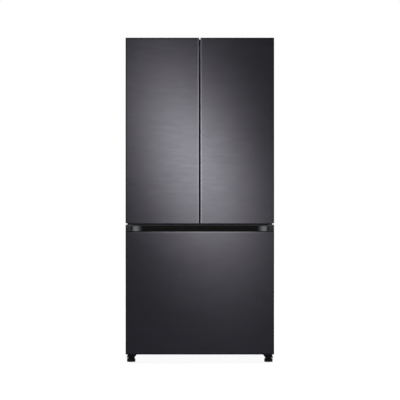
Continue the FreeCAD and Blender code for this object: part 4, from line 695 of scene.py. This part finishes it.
def look_from_front():
    """Level camera square to the doors, at the photograph's distance and framing."""
    data = bpy.data.cameras.new("camera")
    data.sensor_width = SENSOR_WIDTH
    data.lens = LENS
    data.clip_end = 60.0
    camera = bpy.data.objects.new("camera", data)
    SCENE.collection.objects.link(camera)
    camera.location = (EYE_X, FRONT_Y - VIEW_DISTANCE, EYE_HEIGHT)
    camera.rotation_euler = (math.radians(90), 0, 0)
    SCENE.camera = camera


def area_light(name, place, aim, size, radiance):
    """Soft panel of a plain radiance, unseen by the camera."""
    data = bpy.data.lights.new(name, "AREA")
    data.shape = "RECTANGLE"
    data.size, data.size_y = size
    data.energy = radiance * math.pi * size[0] * size[1]
    light = bpy.data.objects.new(name, data)
    SCENE.collection.objects.link(light)
    light.location = place
    light.rotation_euler = (Vector(aim) - Vector(place)).to_track_quat("-Z", "Y").to_euler()
    light.visible_camera = False


def looked_at(tree):
    """1 for what the camera sees directly, in reflections or through glass, else 0."""
    path = tree.nodes.new("ShaderNodeLightPath")
    seen = path.outputs["Is Camera Ray"]
    for ray in ("Is Glossy Ray", "Is Transmission Ray"):
        either = tree.nodes.new("ShaderNodeMath")
        either.operation = "MAXIMUM"
        tree.links.new(seen, either.inputs[0])
        tree.links.new(path.outputs[ray], either.inputs[1])
        seen = either.outputs[0]
    return seen


def white_world():
    """White to the camera and in reflections, softer grey as fill."""
    world = bpy.data.worlds.new("studio")
    world.use_nodes = True
    nodes, links = world.node_tree.nodes, world.node_tree.links
    nodes.clear()
    mix = nodes.new("ShaderNodeMixShader")
    links.new(looked_at(world.node_tree), mix.inputs[0])
    backgrounds = ((FILL_COLOUR, FILL_STRENGTH), ((1, 1, 1, 1), 1.0))
    for (colour, strength), socket in zip(backgrounds, (mix.inputs[1], mix.inputs[2])):
        background = nodes.new("ShaderNodeBackground")
        background.inputs["Color"].default_value = colour
        background.inputs["Strength"].default_value = strength
        links.new(background.outputs[0], socket)
    out = nodes.new("ShaderNodeOutputWorld")
    links.new(mix.outputs[0], out.inputs["Surface"])
    SCENE.world = world


def add_glow(t, colour, strength, onto):
    """Light of its own added to a surface: a shader output that becomes the material's."""
    glow = t.nodes.new("ShaderNodeEmission")
    glow.inputs["Color"].default_value = colour
    t.link(strength, glow.inputs["Strength"])
    both = t.nodes.new("ShaderNodeAddShader")
    t.link(onto, both.inputs[0])
    t.link(glow.outputs[0], both.inputs[1])
    t.link(both.outputs[0], t.out.inputs["Surface"])


def stage_sheet(name, material, half_width, half_height):
    """Flat stage piece about its own origin, facing +Z."""
    mesh = bpy.data.meshes.new(name)
    bm = bmesh.new()
    bmesh.ops.create_grid(bm, x_segments=2, y_segments=2, size=1.0)
    for v in bm.verts:
        v.co.x *= half_width
        v.co.y *= half_height
    bm.to_mesh(mesh)
    bm.free()
    mesh.materials.append(material)
    sheet = bpy.data.objects.new(name, mesh)
    SCENE.collection.objects.link(sheet)
    return sheet


def studio_floor():
    """Wide pale floor that keeps the appliance's shadow."""
    t = Tree("studio_floor")
    cloudy = t.noise(0.6, detail=2.0)
    t.set(colour=t.mix(t.span(cloudy, 0, 1), (0.18, 0.18, 0.18), (0.2, 0.2, 0.2)))
    t.set(rough=t.span(t.noise(40.0), 0.75, 0.9), spec=0.1)
    seen = looked_at(t.material.node_tree)
    add_glow(t, (1, 1, 1, 1), t.span(seen, 0.0, FLOOR_GLOW, (0, 1)), t.shader.outputs[0])
    floor = stage_sheet("floor", t.material, FLOOR_HALF, FLOOR_HALF)
    floor.location.z = CAD_BOX[0].z - FLOOR_DROP


def strip_card():
    """Strip softbox facing the doors: a soft-edged patch that only reflections see."""
    t = Tree("strip_card")
    squares = [
        t.maths("POWER", t.maths("ABSOLUTE", t.maths("DIVIDE", t.along(axis), width)), 2.0)
        for axis, width in zip("XY", CARD_SPREAD)
    ]
    fade = t.maths("EXPONENT", t.maths("MULTIPLY", t.maths("ADD", *squares), -0.5))
    clear = t.nodes.new("ShaderNodeBsdfTransparent")
    add_glow(t, CARD_COLOUR, t.maths("MULTIPLY", fade, CARD_RADIANCE), clear.outputs[0])
    half_width, half_height = (CARD_REACH * width for width in CARD_SPREAD)
    card = stage_sheet("strip_card", t.material, half_width, half_height)
    grow = 1 + CARD_DISTANCE / VIEW_DISTANCE
    card.location = (
        EYE_X + (CARD_CENTRE[0] - EYE_X) * grow,
        FRONT_Y - CARD_DISTANCE,
        EYE_HEIGHT + (CARD_CENTRE[1] - EYE_HEIGHT) * grow,
    )
    card.rotation_euler = (math.radians(90), 0, 0)
    card.rotation_euler.rotate_axis("Z", math.radians(CARD_LEAN))
    card.visible_camera = card.visible_diffuse = card.visible_shadow = False
    card.visible_transmission = False


look_from_front()
white_world()
studio_floor()
strip_card()
area_light("top_panel", (0.0, -0.6, 3.6), (0.0, 0.0, 0.6), (3.0, 2.4), 1.2)

bpy.context.view_layer.update()
